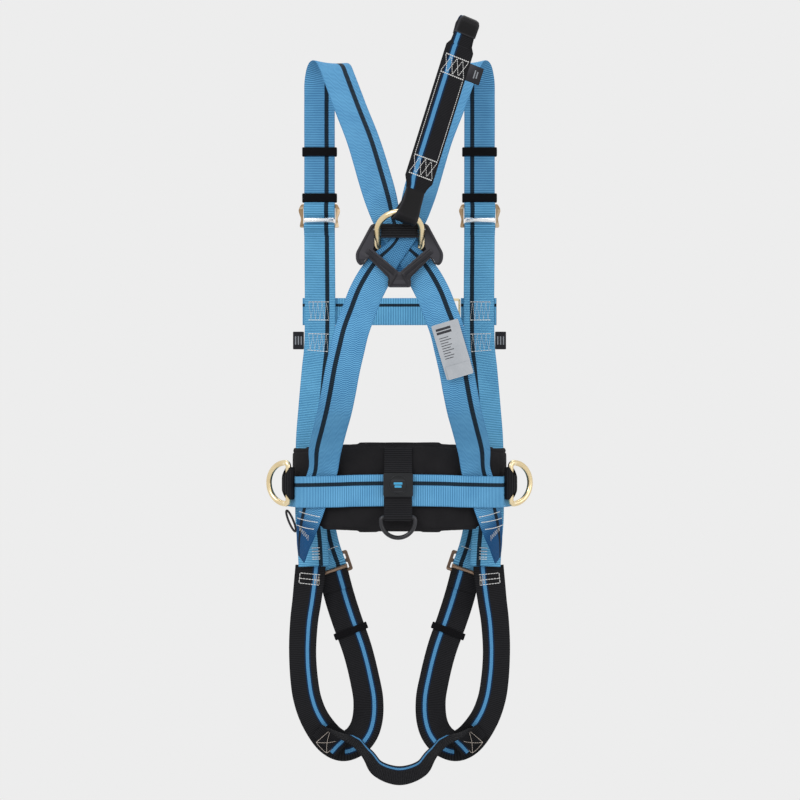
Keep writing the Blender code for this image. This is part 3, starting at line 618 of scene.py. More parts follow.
@dataclass
class Sewing:
    """Stitches of one thread, gathered from many seams and made as one mesh."""

    name: str
    body: str
    radius: float = 0.00042
    stitch: float = 0.0031
    gap: float = 0.0004
    middles: list = field(default_factory=list)
    ways: list = field(default_factory=list)
    faces: list = field(default_factory=list)

    def seam(self, ribbon: Ribbon, u: list[float], v: list[float], lift: float = 0.0011,
             both: bool = False) -> None:
        """One seam over the points (u, v) of a ribbon, in stitches of equal length.

        Args:
            ribbon: the webbing that is sewn.
            u: distances from its middle line.
            v: distances along it.
            lift: height of the thread above the middle surface.
            both: whether the thread shows on both faces.
        """
        corners = np.column_stack([u, v])
        run = np.concatenate([[0], np.cumsum(np.linalg.norm(np.diff(corners, axis=0), axis=1))])
        count = max(1, int(round(run[-1] / (self.stitch + self.gap))))
        edges = np.linspace(0, run[-1], count + 1)
        keep = self.stitch / (self.stitch + self.gap)
        for up in ((lift, -lift) if both else (lift,)):
            ends = []
            space = (1 - keep) / 2 * np.diff(edges)
            for t in (edges[:-1] + space, edges[1:] - space):
                place = (np.interp(t, run, corners[:, 0]), np.interp(t, run, corners[:, 1]))
                ends.append(ribbon.place(*place, up))
            self.middles.append((ends[0][0] + ends[1][0]) / 2)
            self.ways.append((ends[1][0] - ends[0][0]) / 2)
            self.faces.append(np.sign(up) * unit(ends[0][1] + ends[1][1]))

    def zigzag(self, ribbon: Ribbon, u: tuple[float, float], v: tuple[float, float], teeth: int,
               lift: float = 0.0011, both: bool = False) -> None:
        """A zigzag between two lines across the webbing.

        Args:
            ribbon: the webbing.
            u: its two ends across the webbing.
            v: the two lines between which it runs.
            teeth: number of turns.
            lift: height of the thread.
            both: whether it shows on both faces.
        """
        across = np.linspace(u[0], u[1], teeth + 1)
        along = np.where(np.arange(teeth + 1) % 2 == 0, v[0], v[1])
        self.seam(ribbon, list(across), list(along), lift, both)

    def build(self) -> bpy.types.Object:
        """All stitches as one mesh: each is a small spindle whose ends dip into the cloth."""
        middle, way, face = (np.vstack(rows) for rows in (self.middles, self.ways, self.faces))
        way_unit = unit(way)
        beside = unit(np.cross(face, way_unit))
        along = np.array([-1.0, -0.75, 0.0, 0.75, 1.0])
        thick = np.array([0.45, 0.9, 1.0, 0.9, 0.45])
        dip = np.array([-0.9, -0.25, 0.0, -0.25, -0.9])
        turn = np.linspace(0, 2 * math.pi, 6, endpoint=False)
        x = np.repeat(along, 6)
        y = (thick[:, None] * np.cos(turn)).ravel()
        z = (thick[:, None] * np.sin(turn) + dip[:, None]).ravel()
        points = (middle[:, None] + way[:, None] * x[None, :, None]
                  + beside[:, None] * (y * self.radius)[None, :, None]
                  + face[:, None] * (z * self.radius)[None, :, None]).reshape(-1, 3)
        r, c = np.meshgrid(np.arange(4), np.arange(6), indexing="ij")
        quads = np.stack([r * 6 + c, r * 6 + (c + 1) % 6, (r + 1) * 6 + (c + 1) % 6, (r + 1) * 6 + c], -1)
        shift = np.arange(len(middle))[:, None] * 30
        sides = (quads.reshape(1, -1, 4) + shift[:, :, None]).reshape(-1, 4).tolist()
        lids = np.vstack([np.arange(5, -1, -1) + shift, np.arange(24, 30) + shift]).tolist()
        return mesh_object(self.name, points, sides + lids, sharp=80.0)


# ---- finishes ----

class Graph:
    """Short calls for putting shader nodes into one tree."""

    def __init__(self, tree: bpy.types.NodeTree) -> None:
        """Keep the tree that the calls add to."""
        self.tree = tree

    def add(self, kind: str, **fields: object) -> bpy.types.Node:
        """A new node of a kind, with its plain fields set."""
        node = self.tree.nodes.new(kind)
        for key, value in fields.items():
            setattr(node, key, value)
        return node

    def feed(self, socket: bpy.types.NodeSocket, value: object) -> None:
        """Put a value or another socket into a socket."""
        if isinstance(value, bpy.types.NodeSocket):
            self.tree.links.new(value, socket)
        else:
            socket.default_value = value

    def calc(self, operation: str, *values: object, clamp: bool = False) -> bpy.types.NodeSocket:
        """The result of a Math node."""
        node = self.add("ShaderNodeMath", operation=operation, use_clamp=clamp)
        for socket, value in zip(node.inputs, values):
            self.feed(socket, value)
        return node.outputs[0]

    def wave(self, value: object, per_unit: object, shift: object = 0.0) -> bpy.types.NodeSocket:
        """One plus the sine of a value times a count of turns per metre, halved."""
        turns = self.calc("MULTIPLY_ADD", value, per_unit, shift)
        sine = self.calc("SINE", self.calc("MULTIPLY", turns, 2 * math.pi))
        return self.calc("MULTIPLY_ADD", sine, 0.5, 0.5)

    def band(self, value: object, centre: object, half: object, soft: float = 0.0002) -> bpy.types.NodeSocket:
        """One inside a band about a centre, nought outside, with soft edges."""
        away = self.calc("ABSOLUTE", self.calc("SUBTRACT", value, centre))
        inside = self.calc("SUBTRACT", half, away)
        return self.calc("MULTIPLY_ADD", inside, 1 / soft, 0.5, clamp=True)

    def mix(self, factor: object, first: object, second: object) -> bpy.types.NodeSocket:
        """A colour between two others."""
        node = self.add("ShaderNodeMix", data_type="RGBA")
        for index, value in ((0, factor), (6, first), (7, second)):
            self.feed(node.inputs[index], value)
        return node.outputs[2]

    def noise(self, where: object, scale: float, detail: float = 3.0) -> bpy.types.NodeSocket:
        """A noise value."""
        node = self.add("ShaderNodeTexNoise")
        self.feed(node.inputs["Vector"], where)
        node.inputs["Scale"].default_value = scale
        node.inputs["Detail"].default_value = detail
        return node.outputs[0]

    def object_place(self) -> bpy.types.NodeSocket:
        """Object coordinates."""
        return self.add("ShaderNodeTexCoord").outputs["Object"]

    def weave_place(self) -> bpy.types.NodeSocket:
        """The piece's own UV, in metres across and along the webbing."""
        return self.add("ShaderNodeUVMap", uv_map="weave").outputs[0]


def group(name: str, inputs: dict[str, tuple[str, object]],
          outputs: dict[str, str]) -> tuple[bpy.types.NodeTree, Graph]:
    """An empty shader node group with named sockets.

    Args:
        name: the group's name.
        inputs: socket type and default value by name.
        outputs: socket type by name.

    Returns:
        The group and a Graph for it.
    """
    tree = bpy.data.node_groups.new(name, "ShaderNodeTree")
    for label, (kind, value) in inputs.items():
        socket = tree.interface.new_socket(label, in_out="INPUT", socket_type=kind)
        if value is not None:
            socket.default_value = value
    for label, kind in outputs.items():
        tree.interface.new_socket(label, in_out="OUTPUT", socket_type=kind)
    return tree, Graph(tree)


def woven_ribs() -> bpy.types.NodeTree:
    """Ribs, warp threads, stripe and selvedge of webbing, from its UV in metres.

    The ribs are a sine along the webbing, shifted by a sine across it. The stripe is a band of u.
    """
    number = "NodeSocketFloat"
    tree, g = group("woven_ribs", {
        "Place": ("NodeSocketVector", None), "Ribs per Metre": (number, 460.0),
        "Chevron": (number, 0.0), "Chevron From": (number, -1.0),
        "Stripe Centre": (number, 0.033), "Stripe Half": (number, 0.0029), "Width": (number, WEBBING)},
        {"Stripe": number, "Stripe Core": number, "Height": number, "Shade": number, "Edge": number})
    start, end = g.add("NodeGroupInput"), g.add("NodeGroupOutput")
    parts = g.add("ShaderNodeSeparateXYZ")
    g.feed(parts.inputs[0], start.outputs["Place"])
    u, v = parts.outputs[0], parts.outputs[1]
    waver = g.calc("MULTIPLY", g.calc("SUBTRACT", g.wave(u, 105.0), 0.5), start.outputs["Chevron"])
    past = g.calc("SUBTRACT", v, start.outputs["Chevron From"])
    begun = g.calc("MULTIPLY_ADD", past, 25.0, 0.0, clamp=True)
    waver = g.calc("MULTIPLY", waver, begun)
    ribs = g.wave(v, start.outputs["Ribs per Metre"], waver)
    warp = g.wave(u, 1150.0)
    coarse = g.noise(start.outputs["Place"], 24.0, 3.0)
    fuzz = g.noise(start.outputs["Place"], 900.0, 2.0)
    core = g.calc("MULTIPLY", start.outputs["Stripe Half"], 0.55)
    ragged = g.calc("MULTIPLY_ADD", ribs, 0.0003, u)
    stripe = g.band(ragged, start.outputs["Stripe Centre"], start.outputs["Stripe Half"])
    inner = g.band(ragged, start.outputs["Stripe Centre"], core)
    shade = g.calc("MULTIPLY_ADD", ribs, 0.82, g.calc("MULTIPLY", warp, 0.10))
    shade = g.calc("ADD", shade, g.calc("MULTIPLY_ADD", coarse, 0.4, -0.2))
    shade = g.calc("MULTIPLY_ADD", fuzz, 0.16, shade, clamp=True)
    height = g.calc("MULTIPLY_ADD", warp, 0.25, ribs)
    middle = g.calc("MULTIPLY", start.outputs["Width"], 0.5)
    away = g.calc("ABSOLUTE", g.calc("SUBTRACT", u, middle))
    edge = g.calc("MULTIPLY_ADD", g.calc("SUBTRACT", away, middle), 1 / 0.0016, 1.0, clamp=True)
    for label, value in (("Stripe", stripe), ("Stripe Core", inner), ("Height", height), ("Shade", shade),
                         ("Edge", edge)):
        g.feed(end.inputs[label], value)
    return tree


def surface_grain() -> bpy.types.NodeTree:
    """Fine grain, soft blotches and wear of hard surfaces, from Object coordinates and noise."""
    number = "NodeSocketFloat"
    tree, g = group("surface_grain", {"Place": ("NodeSocketVector", None), "Scale": (number, 900.0),
                                      "Stretch": (number, 1.0)},
                    {"Grain": number, "Blotch": number, "Worn": number})
    start, end = g.add("NodeGroupInput"), g.add("NodeGroupOutput")
    parts = g.add("ShaderNodeSeparateXYZ")
    g.feed(parts.inputs[0], start.outputs["Place"])
    whole = g.add("ShaderNodeCombineXYZ")
    g.feed(whole.inputs[0], parts.outputs[0])
    g.feed(whole.inputs[1], g.calc("MULTIPLY", parts.outputs[1], start.outputs["Stretch"]))
    g.feed(whole.inputs[2], g.calc("MULTIPLY", parts.outputs[2], start.outputs["Stretch"]))
    fine = g.add("ShaderNodeTexNoise")
    g.feed(fine.inputs["Vector"], whole.outputs[0])
    g.feed(fine.inputs["Scale"], start.outputs["Scale"])
    fine.inputs["Detail"].default_value = 4.0
    blotch = g.noise(start.outputs["Place"], 45.0, 4.0)
    edge = g.add("ShaderNodeNewGeometry").outputs["Pointiness"]
    raised = g.calc("MULTIPLY_ADD", g.calc("SUBTRACT", edge, 0.5), 14.0, -0.1)
    worn = g.calc("MULTIPLY", raised, g.calc("ADD", blotch, 0.35), clamp=True)
    for label, value in (("Grain", fine.outputs[0]), ("Blotch", blotch), ("Worn", worn)):
        g.feed(end.inputs[label], value)
    return tree


GROUPS: dict[str, bpy.types.NodeTree] = {}


@dataclass(frozen=True)
class Finish:
    """What every finish has: a name, the record's slot, and its plain shader values."""

    name: str
    slot: str
    roughness: float = 0.7
    sheen: float = 0.0
    bump: float = 0.0003
    specular: float = 0.12

    def begin(self) -> tuple[bpy.types.Material, Graph, bpy.types.Node]:
        """A new material with its Principled shader, and its constant values on its own sockets."""
        made = bpy.data.materials.new(self.name)
        made.use_nodes = True
        shader = made.node_tree.nodes["Principled BSDF"]
        shader.inputs["Roughness"].default_value = self.roughness
        shader.inputs["Sheen Weight"].default_value = self.sheen
        shader.inputs["Sheen Roughness"].default_value = 0.5
        shader.inputs["Specular IOR Level"].default_value = self.specular
        return made, Graph(made.node_tree), shader

    def effect(self, g: Graph, name: str, **values: object) -> bpy.types.Node:
        """A shared group placed in the material, with this material's values."""
        node = g.add("ShaderNodeGroup", node_tree=GROUPS[name])
        for key, value in values.items():
            g.feed(node.inputs[key.replace("_", " ")], value)
        return node

    def raise_surface(self, g: Graph, shader: bpy.types.Node, height: object, strength: float = 1.0) -> None:
        """Join a height to the shader's normal through a Bump node."""
        bump = g.add("ShaderNodeBump")
        bump.inputs["Distance"].default_value = self.bump
        bump.inputs["Strength"].default_value = strength
        g.feed(bump.inputs["Height"], height)
        g.feed(shader.inputs["Normal"], bump.outputs[0])


@dataclass(frozen=True)
class Webbing(Finish):
    """Woven webbing of two shades, with a stripe of two further colours and darker rib colours for painted
    shade.
    """

    light: tuple = srgb(118, 190, 228)
    dark: tuple = srgb(34, 96, 144)
    stripe: tuple = srgb(8, 20, 42)
    core: tuple = srgb(14, 22, 26)
    painted_shade_light: tuple = srgb(24, 88, 140)
    painted_shade_dark: tuple = srgb(6, 40, 78)
    centre: float = 0.033
    half: float = 0.0031
    width: float = WEBBING
    ribs: float = 400.0
    chevron: float = 0.0

    def material(self) -> bpy.types.Material:
        """The webbing's material: shades by rib, painted shade by the deep attribute, stripe by band, bump by
        rib and warp.
        """
        made, g, shader = self.begin()
        begin_at = 0.24 if self.chevron else -1.0
        ribs = self.effect(g, "woven_ribs", Place=g.weave_place(), Chevron=self.chevron,
                           Chevron_From=begin_at, Stripe_Centre=self.centre,
                           Stripe_Half=self.half, Width=self.width)
        ribs.inputs["Ribs per Metre"].default_value = self.ribs
        ground = g.mix(ribs.outputs["Shade"], self.dark, self.light)
        ground = g.mix(g.calc("MULTIPLY", ribs.outputs["Edge"], 0.35), ground, self.dark)
        # Painted shade: the deep attribute blends in the darker rib colours where the webbing is taken to lie
        # in shade.
        shade = g.add("ShaderNodeAttribute", attribute_name="deep").outputs["Fac"]
        ground = g.mix(shade, ground, g.mix(ribs.outputs["Shade"], self.painted_shade_dark, self.painted_shade_light))
        if self.half > 0:
            inside = g.mix(ribs.outputs["Stripe Core"], self.stripe, self.core)
            inside = g.mix(g.calc("MULTIPLY", ribs.outputs["Shade"], 0.06), inside, ground)
            ground = g.mix(ribs.outputs["Stripe"], ground, inside)
        g.feed(shader.inputs["Base Color"], ground)
        rough = g.calc("MULTIPLY_ADD", ribs.outputs["Shade"], -0.12, self.roughness + 0.06)
        g.feed(shader.inputs["Roughness"], rough)
        self.raise_surface(g, shader, ribs.outputs["Height"], 0.8)
        return made


@dataclass(frozen=True)
class PadCloth(Finish):
    """Black cloth with a fine plain weave, on Object coordinates."""

    light: tuple = srgb(40, 39, 41)
    dark: tuple = srgb(14, 14, 16)
    threads: float = 900.0

    def material(self) -> bpy.types.Material:
        """The cloth's material: crossed sines of the three Object coordinates, with soft blotches."""
        made, g, shader = self.begin()
        place = g.object_place()
        grain = self.effect(g, "surface_grain", Place=place, Scale=700.0)
        parts = g.add("ShaderNodeSeparateXYZ")
        g.feed(parts.inputs[0], place)
        flow = g.calc("SUBTRACT", parts.outputs[0], parts.outputs[1])
        crossed = g.calc("MULTIPLY", g.wave(flow, self.threads), g.wave(parts.outputs[2], self.threads))
        tone = g.calc("MULTIPLY_ADD", grain.outputs["Blotch"], 0.5, g.calc("MULTIPLY", crossed, 0.35))
        tone = g.calc("MULTIPLY_ADD", grain.outputs["Grain"], 0.3, tone, clamp=True)
        g.feed(shader.inputs["Base Color"], g.mix(tone, self.dark, self.light))
        self.raise_surface(g, shader, g.calc("MULTIPLY_ADD", grain.outputs["Grain"], 0.5, crossed), 0.7)
        return made


@dataclass(frozen=True)
class Metal(Finish):
    """Plated or coated metal with fine drawing lines, soft blotches and brighter worn edges."""

    base: tuple = srgb(200, 170, 120)
    deep: tuple = srgb(150, 120, 75)
    worn: tuple = srgb(255, 235, 190)
    metallic: float = 1.0
    coat: float = 0.0

    def material(self) -> bpy.types.Material:
        """The metal's material."""
        made, g, shader = self.begin()
        shader.inputs["Metallic"].default_value = self.metallic
        shader.inputs["Coat Weight"].default_value = self.coat
        grain = self.effect(g, "surface_grain", Place=g.object_place(), Scale=1400.0, Stretch=0.25)
        spread = g.calc("MULTIPLY_ADD", grain.outputs["Blotch"], 1.6, -0.3, clamp=True)
        colour = g.mix(spread, self.deep, self.base)
        g.feed(shader.inputs["Base Color"], g.mix(grain.outputs["Worn"], colour, self.worn))
        rough = g.calc("MULTIPLY_ADD", grain.outputs["Grain"], 0.16, self.roughness - 0.08)
        g.feed(shader.inputs["Roughness"], rough)
        self.raise_surface(g, shader, grain.outputs["Grain"], 0.35)
        return made


@dataclass(frozen=True)
class Moulded(Finish):
    """Moulded plastic, film or leather-like cover with a grain and slightly scuffed edges."""

    light: tuple = srgb(36, 35, 39)
    dark: tuple = srgb(17, 17, 20)
    grain_scale: float = 1300.0
    scuff: tuple = srgb(84, 83, 88)

    def material(self) -> bpy.types.Material:
        """The plastic's material."""
        made, g, shader = self.begin()
        grain = self.effect(g, "surface_grain", Place=g.object_place(), Scale=self.grain_scale)
        blotch = g.calc("MULTIPLY", grain.outputs["Blotch"], 0.6)
        tone = g.calc("MULTIPLY_ADD", grain.outputs["Grain"], 0.4, blotch)
        colour = g.mix(tone, self.dark, self.light)
        worn = g.calc("MULTIPLY", grain.outputs["Worn"], 0.5)
        g.feed(shader.inputs["Base Color"], g.mix(worn, colour, self.scuff))
        rough = g.calc("MULTIPLY_ADD", grain.outputs["Blotch"], 0.2, self.roughness - 0.1)
        g.feed(shader.inputs["Roughness"], rough)
        self.raise_surface(g, shader, grain.outputs["Grain"], 0.5)
        return made


@dataclass(frozen=True)
class ThreadCover(Finish):
    """Sewing thread, with a fine twist."""

    light: tuple = srgb(240, 240, 238)
    dark: tuple = srgb(190, 190, 188)

    def material(self) -> bpy.types.Material:
        """The thread's material."""
        made, g, shader = self.begin()
        grain = self.effect(g, "surface_grain", Place=g.object_place(), Scale=2600.0)
        g.feed(shader.inputs["Base Color"], g.mix(grain.outputs["Grain"], self.dark, self.light))
        self.raise_surface(g, shader, grain.outputs["Grain"], 0.5)
        return made


STRIPE_NEAR = 0.265 * WEBBING
STRIPE_FAR = 0.735 * WEBBING
BLACK_LIGHT, BLACK_DARK = srgb(33, 33, 36), srgb(13, 13, 15)
STRIPE_BLUE, STRIPE_NAVY = srgb(78, 138, 182), srgb(12, 38, 68)

BLUE = {"slot": "blue_webbing", "bump": 0.0004}
# Painted shade: the back straps take a darker copy of the blue, for webbing that faces away from the light;
# their chevron ribs are woven.
BACK_SHADED = BLUE | {"light": srgb(108, 174, 214), "dark": srgb(26, 84, 136), "chevron": 0.45}
BLACK = {"slot": "black_webbing", "roughness": 0.8, "light": BLACK_LIGHT, "dark": BLACK_DARK,
         "stripe": STRIPE_NAVY, "core": STRIPE_BLUE}
PLASTIC = {"slot": "black_plastic", "bump": 0.0001}
THREAD = {"roughness": 0.7, "sheen": 0.1, "bump": 0.0001}
FINISHES = {
    "front_blue_near": Webbing("front_webbing_near", centre=STRIPE_NEAR, **BLUE),
    "front_blue_far": Webbing("front_webbing_far", centre=STRIPE_FAR, **BLUE),
    "chest_blue": Webbing("chest_webbing_blue", centre=0.0108, half=0.0022, width=0.040, **BLUE),
    "back_blue_shaded_near": Webbing("back_webbing_shaded_near", centre=STRIPE_NEAR, **BACK_SHADED),
    "back_blue_shaded_far": Webbing("back_webbing_shaded_far", centre=STRIPE_FAR, **BACK_SHADED),
    # Painted shade: the belt's blue is a slightly darker copy of the strap blue.
    "belt_blue_shaded": Webbing("belt_webbing_blue_shaded", light=srgb(114, 180, 220), dark=srgb(34, 96, 146),
                         centre=0.0320, half=0.0028, width=0.044, **BLUE),
    "striped_black_near": Webbing("leg_webbing_near", centre=0.31 * WEBBING, half=0.0048, **BLACK),
    "striped_black_far": Webbing("leg_webbing_far", centre=0.69 * WEBBING, half=0.0048, **BLACK),
    "pelvic_black": Webbing("pelvic_webbing", centre=0.0085, half=0.0042, **BLACK),
    "extension_black": Webbing("extension_webbing", centre=0.0112, half=0.0046, width=0.0385, ribs=520.0,
                               **BLACK),
    "extension_end": Webbing("extension_end_webbing", centre=0.0047, half=0.0046, width=0.0255, ribs=520.0,
                             **BLACK),
    "plain_black": Webbing("plain_black_webbing", "black_webbing", 0.75, bump=0.0004, light=srgb(38, 38, 41),
                           dark=srgb(10, 10, 12), half=0.0, ribs=330.0),
    "elastic": Webbing("elastic_band", "black_webbing", 0.85, bump=0.0002, light=srgb(14, 13, 16),
                       dark=srgb(2, 2, 4), half=0.0, width=0.013, ribs=700.0),
    "cover": Moulded("sleeve_cover", "black_webbing", 0.5, bump=0.0002, specular=0.16, light=srgb(19, 18, 20),
                     dark=srgb(6, 6, 7), grain_scale=900.0),
    "plain_tab": Moulded("tab_cloth", "black_webbing", 0.75, bump=0.0002, light=srgb(26, 26, 30),
                         dark=srgb(10, 10, 12), grain_scale=1500.0),
    "pad": PadCloth("pad_cloth", "pad_cloth", 0.85),
    "plastic": Moulded("moulded_plastic", roughness=0.46, specular=0.22, light=srgb(30, 29, 34),
                       dark=srgb(13, 13, 16), scuff=srgb(70, 69, 75), **PLASTIC),
    "keeper": Moulded("keeper_plastic", roughness=0.36, specular=0.3, light=srgb(18, 20, 23),
                      dark=srgb(4, 6, 9), scuff=srgb(50, 52, 56), **PLASTIC),
    "emblem_blue": Moulded("emblem_blue", roughness=0.4, light=srgb(60, 160, 205), dark=srgb(30, 120, 170),
                           scuff=srgb(120, 190, 220), **PLASTIC),
    "gold": Metal("gold_plating", "gold_steel", 0.26, bump=0.00002, specular=0.5, base=srgb(242, 222, 178),
                  deep=srgb(216, 188, 134), worn=srgb(255, 244, 214)),
    "bronze": Metal("bronze_plating", "bronze_steel", 0.55, bump=0.00002, specular=0.5,
                    base=srgb(172, 146, 114), deep=srgb(148, 122, 92), worn=srgb(205, 184, 156)),
    "dark_bronze": Metal("dark_bronze_plating", "dark_bronze", 0.4, bump=0.00003, specular=0.5,
                         base=srgb(96, 80, 70), deep=srgb(66, 52, 46), worn=srgb(165, 140, 120)),
    "bright": Metal("bright_plating", "bright_steel", 0.22, bump=0.00001, specular=0.5,
                    base=srgb(240, 243, 246), deep=srgb(228, 232, 236), worn=srgb(250, 250, 250)),
    "black_steel": Metal("black_coating", "dark_steel", 0.38, bump=0.00002, specular=0.3,
                         base=srgb(30, 30, 33), deep=srgb(12, 12, 14), worn=srgb(80, 80, 84),
                         metallic=0.4, coat=0.15),
    "film": Moulded("label_film", "label_film", 0.5, bump=0.00005, light=srgb(170, 173, 178),
                    dark=srgb(136, 142, 148), grain_scale=500.0, scuff=srgb(220, 220, 222)),
    "print": Moulded("label_print", "label_film", 0.6, bump=0.00003, light=srgb(52, 53, 58),
                     dark=srgb(36, 37, 42)),
    "tab_print": ThreadCover("tab_print", "black_webbing", 0.8, bump=0.0001, light=srgb(150, 154, 158),
                             dark=srgb(104, 108, 114)),
    "white_thread": ThreadCover("white_thread", "blue_webbing", **THREAD),
    "beige_thread": ThreadCover("beige_thread", "black_webbing", light=srgb(206, 196, 186),
                                dark=srgb(160, 150, 142), **THREAD),
    "black_thread": ThreadCover("black_thread", "pad_cloth", light=srgb(60, 60, 63), dark=srgb(30, 30, 32),
                                **THREAD),
}
MADE: dict[str, bpy.types.Material] = {}


def dress(piece: bpy.types.Object, finish: str, body: str, *nodes: str) -> bpy.types.Object:
    """Give a finished piece its material, its body and the CAD nodes that it stands for.

    Args:
        piece: the piece.
        finish: a key of FINISHES.
        body: the CAD body that it moves with.
        nodes: the CAD nodes that it replaces.

    Returns:
        The piece.
    """
    if finish not in MADE:
        MADE[finish] = FINISHES[finish].material()
    piece.data.materials.clear()
    piece.data.materials.append(MADE[finish])
    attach(piece, body)
    if nodes:
        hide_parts(*nodes)
    LOG.info("%s: %d faces, %s, on %s", piece.name, len(piece.data.polygons), finish, body)
    return piece


# ---- sub-assemblies ----

@dataclass
class ShoulderStraps:
    """The long straps over the shoulders, which cross at the back. Each ends free behind the leg strap."""

    stations: int = 420
    crossing: tuple[float, float, float] = (0.0, -0.115, -0.277)
    crossing_width: float = 0.028
    gather: float = 0.046
    layer_step: float = 0.0032
    white: Sewing | None = None
    fine: Sewing | None = None

    def ribbon(self, side: Side) -> Ribbon:
        """One strap, narrowed at the crossing by a bell curve. The left one is pushed under the right one."""
        under = side is Side.LEFT
        left = [(x, y + self.layer_step * (under and y < -0.08 and -0.36 < z < -0.18), z, nx, ny, nz)
                for x, y, z, nx, ny, nz in SHOULDER_ROUTE]
        turned = [(*row[:3], 1.0, -0.85, 0) for row in left[-3:]]
        strap = Ribbon.along(side.route(left[:-3] + turned), self.stations)
        away = np.linalg.norm(strap.centre - np.array(self.crossing), axis=1)
        reach = np.where(strap.centre[:, 2] < self.crossing[2] - 0.004, 0.034, self.gather)
        reach = np.convolve(np.pad(reach, 8, "edge"), np.full(17, 1 / 17), "valid")
        strap.width = WEBBING - (WEBBING - self.crossing_width) * np.exp(-(away / reach) ** 2)
        # Painted shade: the deep weight darkens the strap inside the dorsal plate's window and over its hip
        # end, where the webbing faces away from the light.
        window = np.linalg.norm((strap.centre - np.array((0, -0.115, -0.287)))[:, ::2], axis=1)
        hip = np.clip((strap.run - 1.000) / 0.042, 0, 1)
        drawn = np.clip((strap.run - 1.036) / 0.060, 0, 1)
        strap.width = strap.width * (1 - 0.62 * drawn ** 1.3)
        strap.deep = np.clip(0.42 * np.exp(-(window / 0.032) ** 4) + 1.0 * hip ** 2 * (3 - 2 * hip), 0, 1)
        return strap

    def crossing_panel(self) -> bpy.types.Object:
        """The bunched webbing behind the crossing: a short vertical panel that narrows below, darkened by
        painted shade.
        """
        z = np.linspace(-0.2585, -0.3120, 40)
        width = np.interp(-z, [0.2585, 0.2865, 0.2915, 0.3120], [0.0490, 0.0490, 0.0620, 0.0100])
        centre = np.column_stack([np.zeros(40), np.full(40, -0.1112), z])
        # Painted shade at a weight of 0.55 over the whole panel.
        panel = Ribbon.swept(centre, (1.0, 0, 0), width, thick=0.0008, deep=np.full(40, 0.55))
        return panel.build("crossing_panel", np.full(40, Layout.PLAIN.value))

    def build(self) -> None:
        """Both straps, which narrow towards their ends, and the lines of thread at each hip."""
        for side in Side:
            strap = self.ribbon(side)
            # The back finishes are darker copies of the blue: painted shade.
            finish = "back_blue_shaded_far" if side is Side.LEFT else "back_blue_shaded_near"
            shown = strap.cut(0.0, 1.096)
            dress(shown.build(f"shoulder_webbing_{side.word}"), finish, ROOT, f"shoulder_strap_{side.word}")
            flip = -side.value
            for u0, u1, v0, v1 in ((0.019, -0.0195, 1.0195, 1.0105), (0.0215, -0.019, 1.0325, 1.018),
                                   (0.0215, -0.017, 1.0460, 1.029)):
                self.white.seam(strap, [flip * u0, flip * u1], [v0, v1], both=True)
            self.fine.zigzag(strap, (flip * 0.013, flip * -0.012), (1.0420, 1.0500), 13, both=True)
        dress(self.crossing_panel(), "back_blue_shaded_near", ROOT)


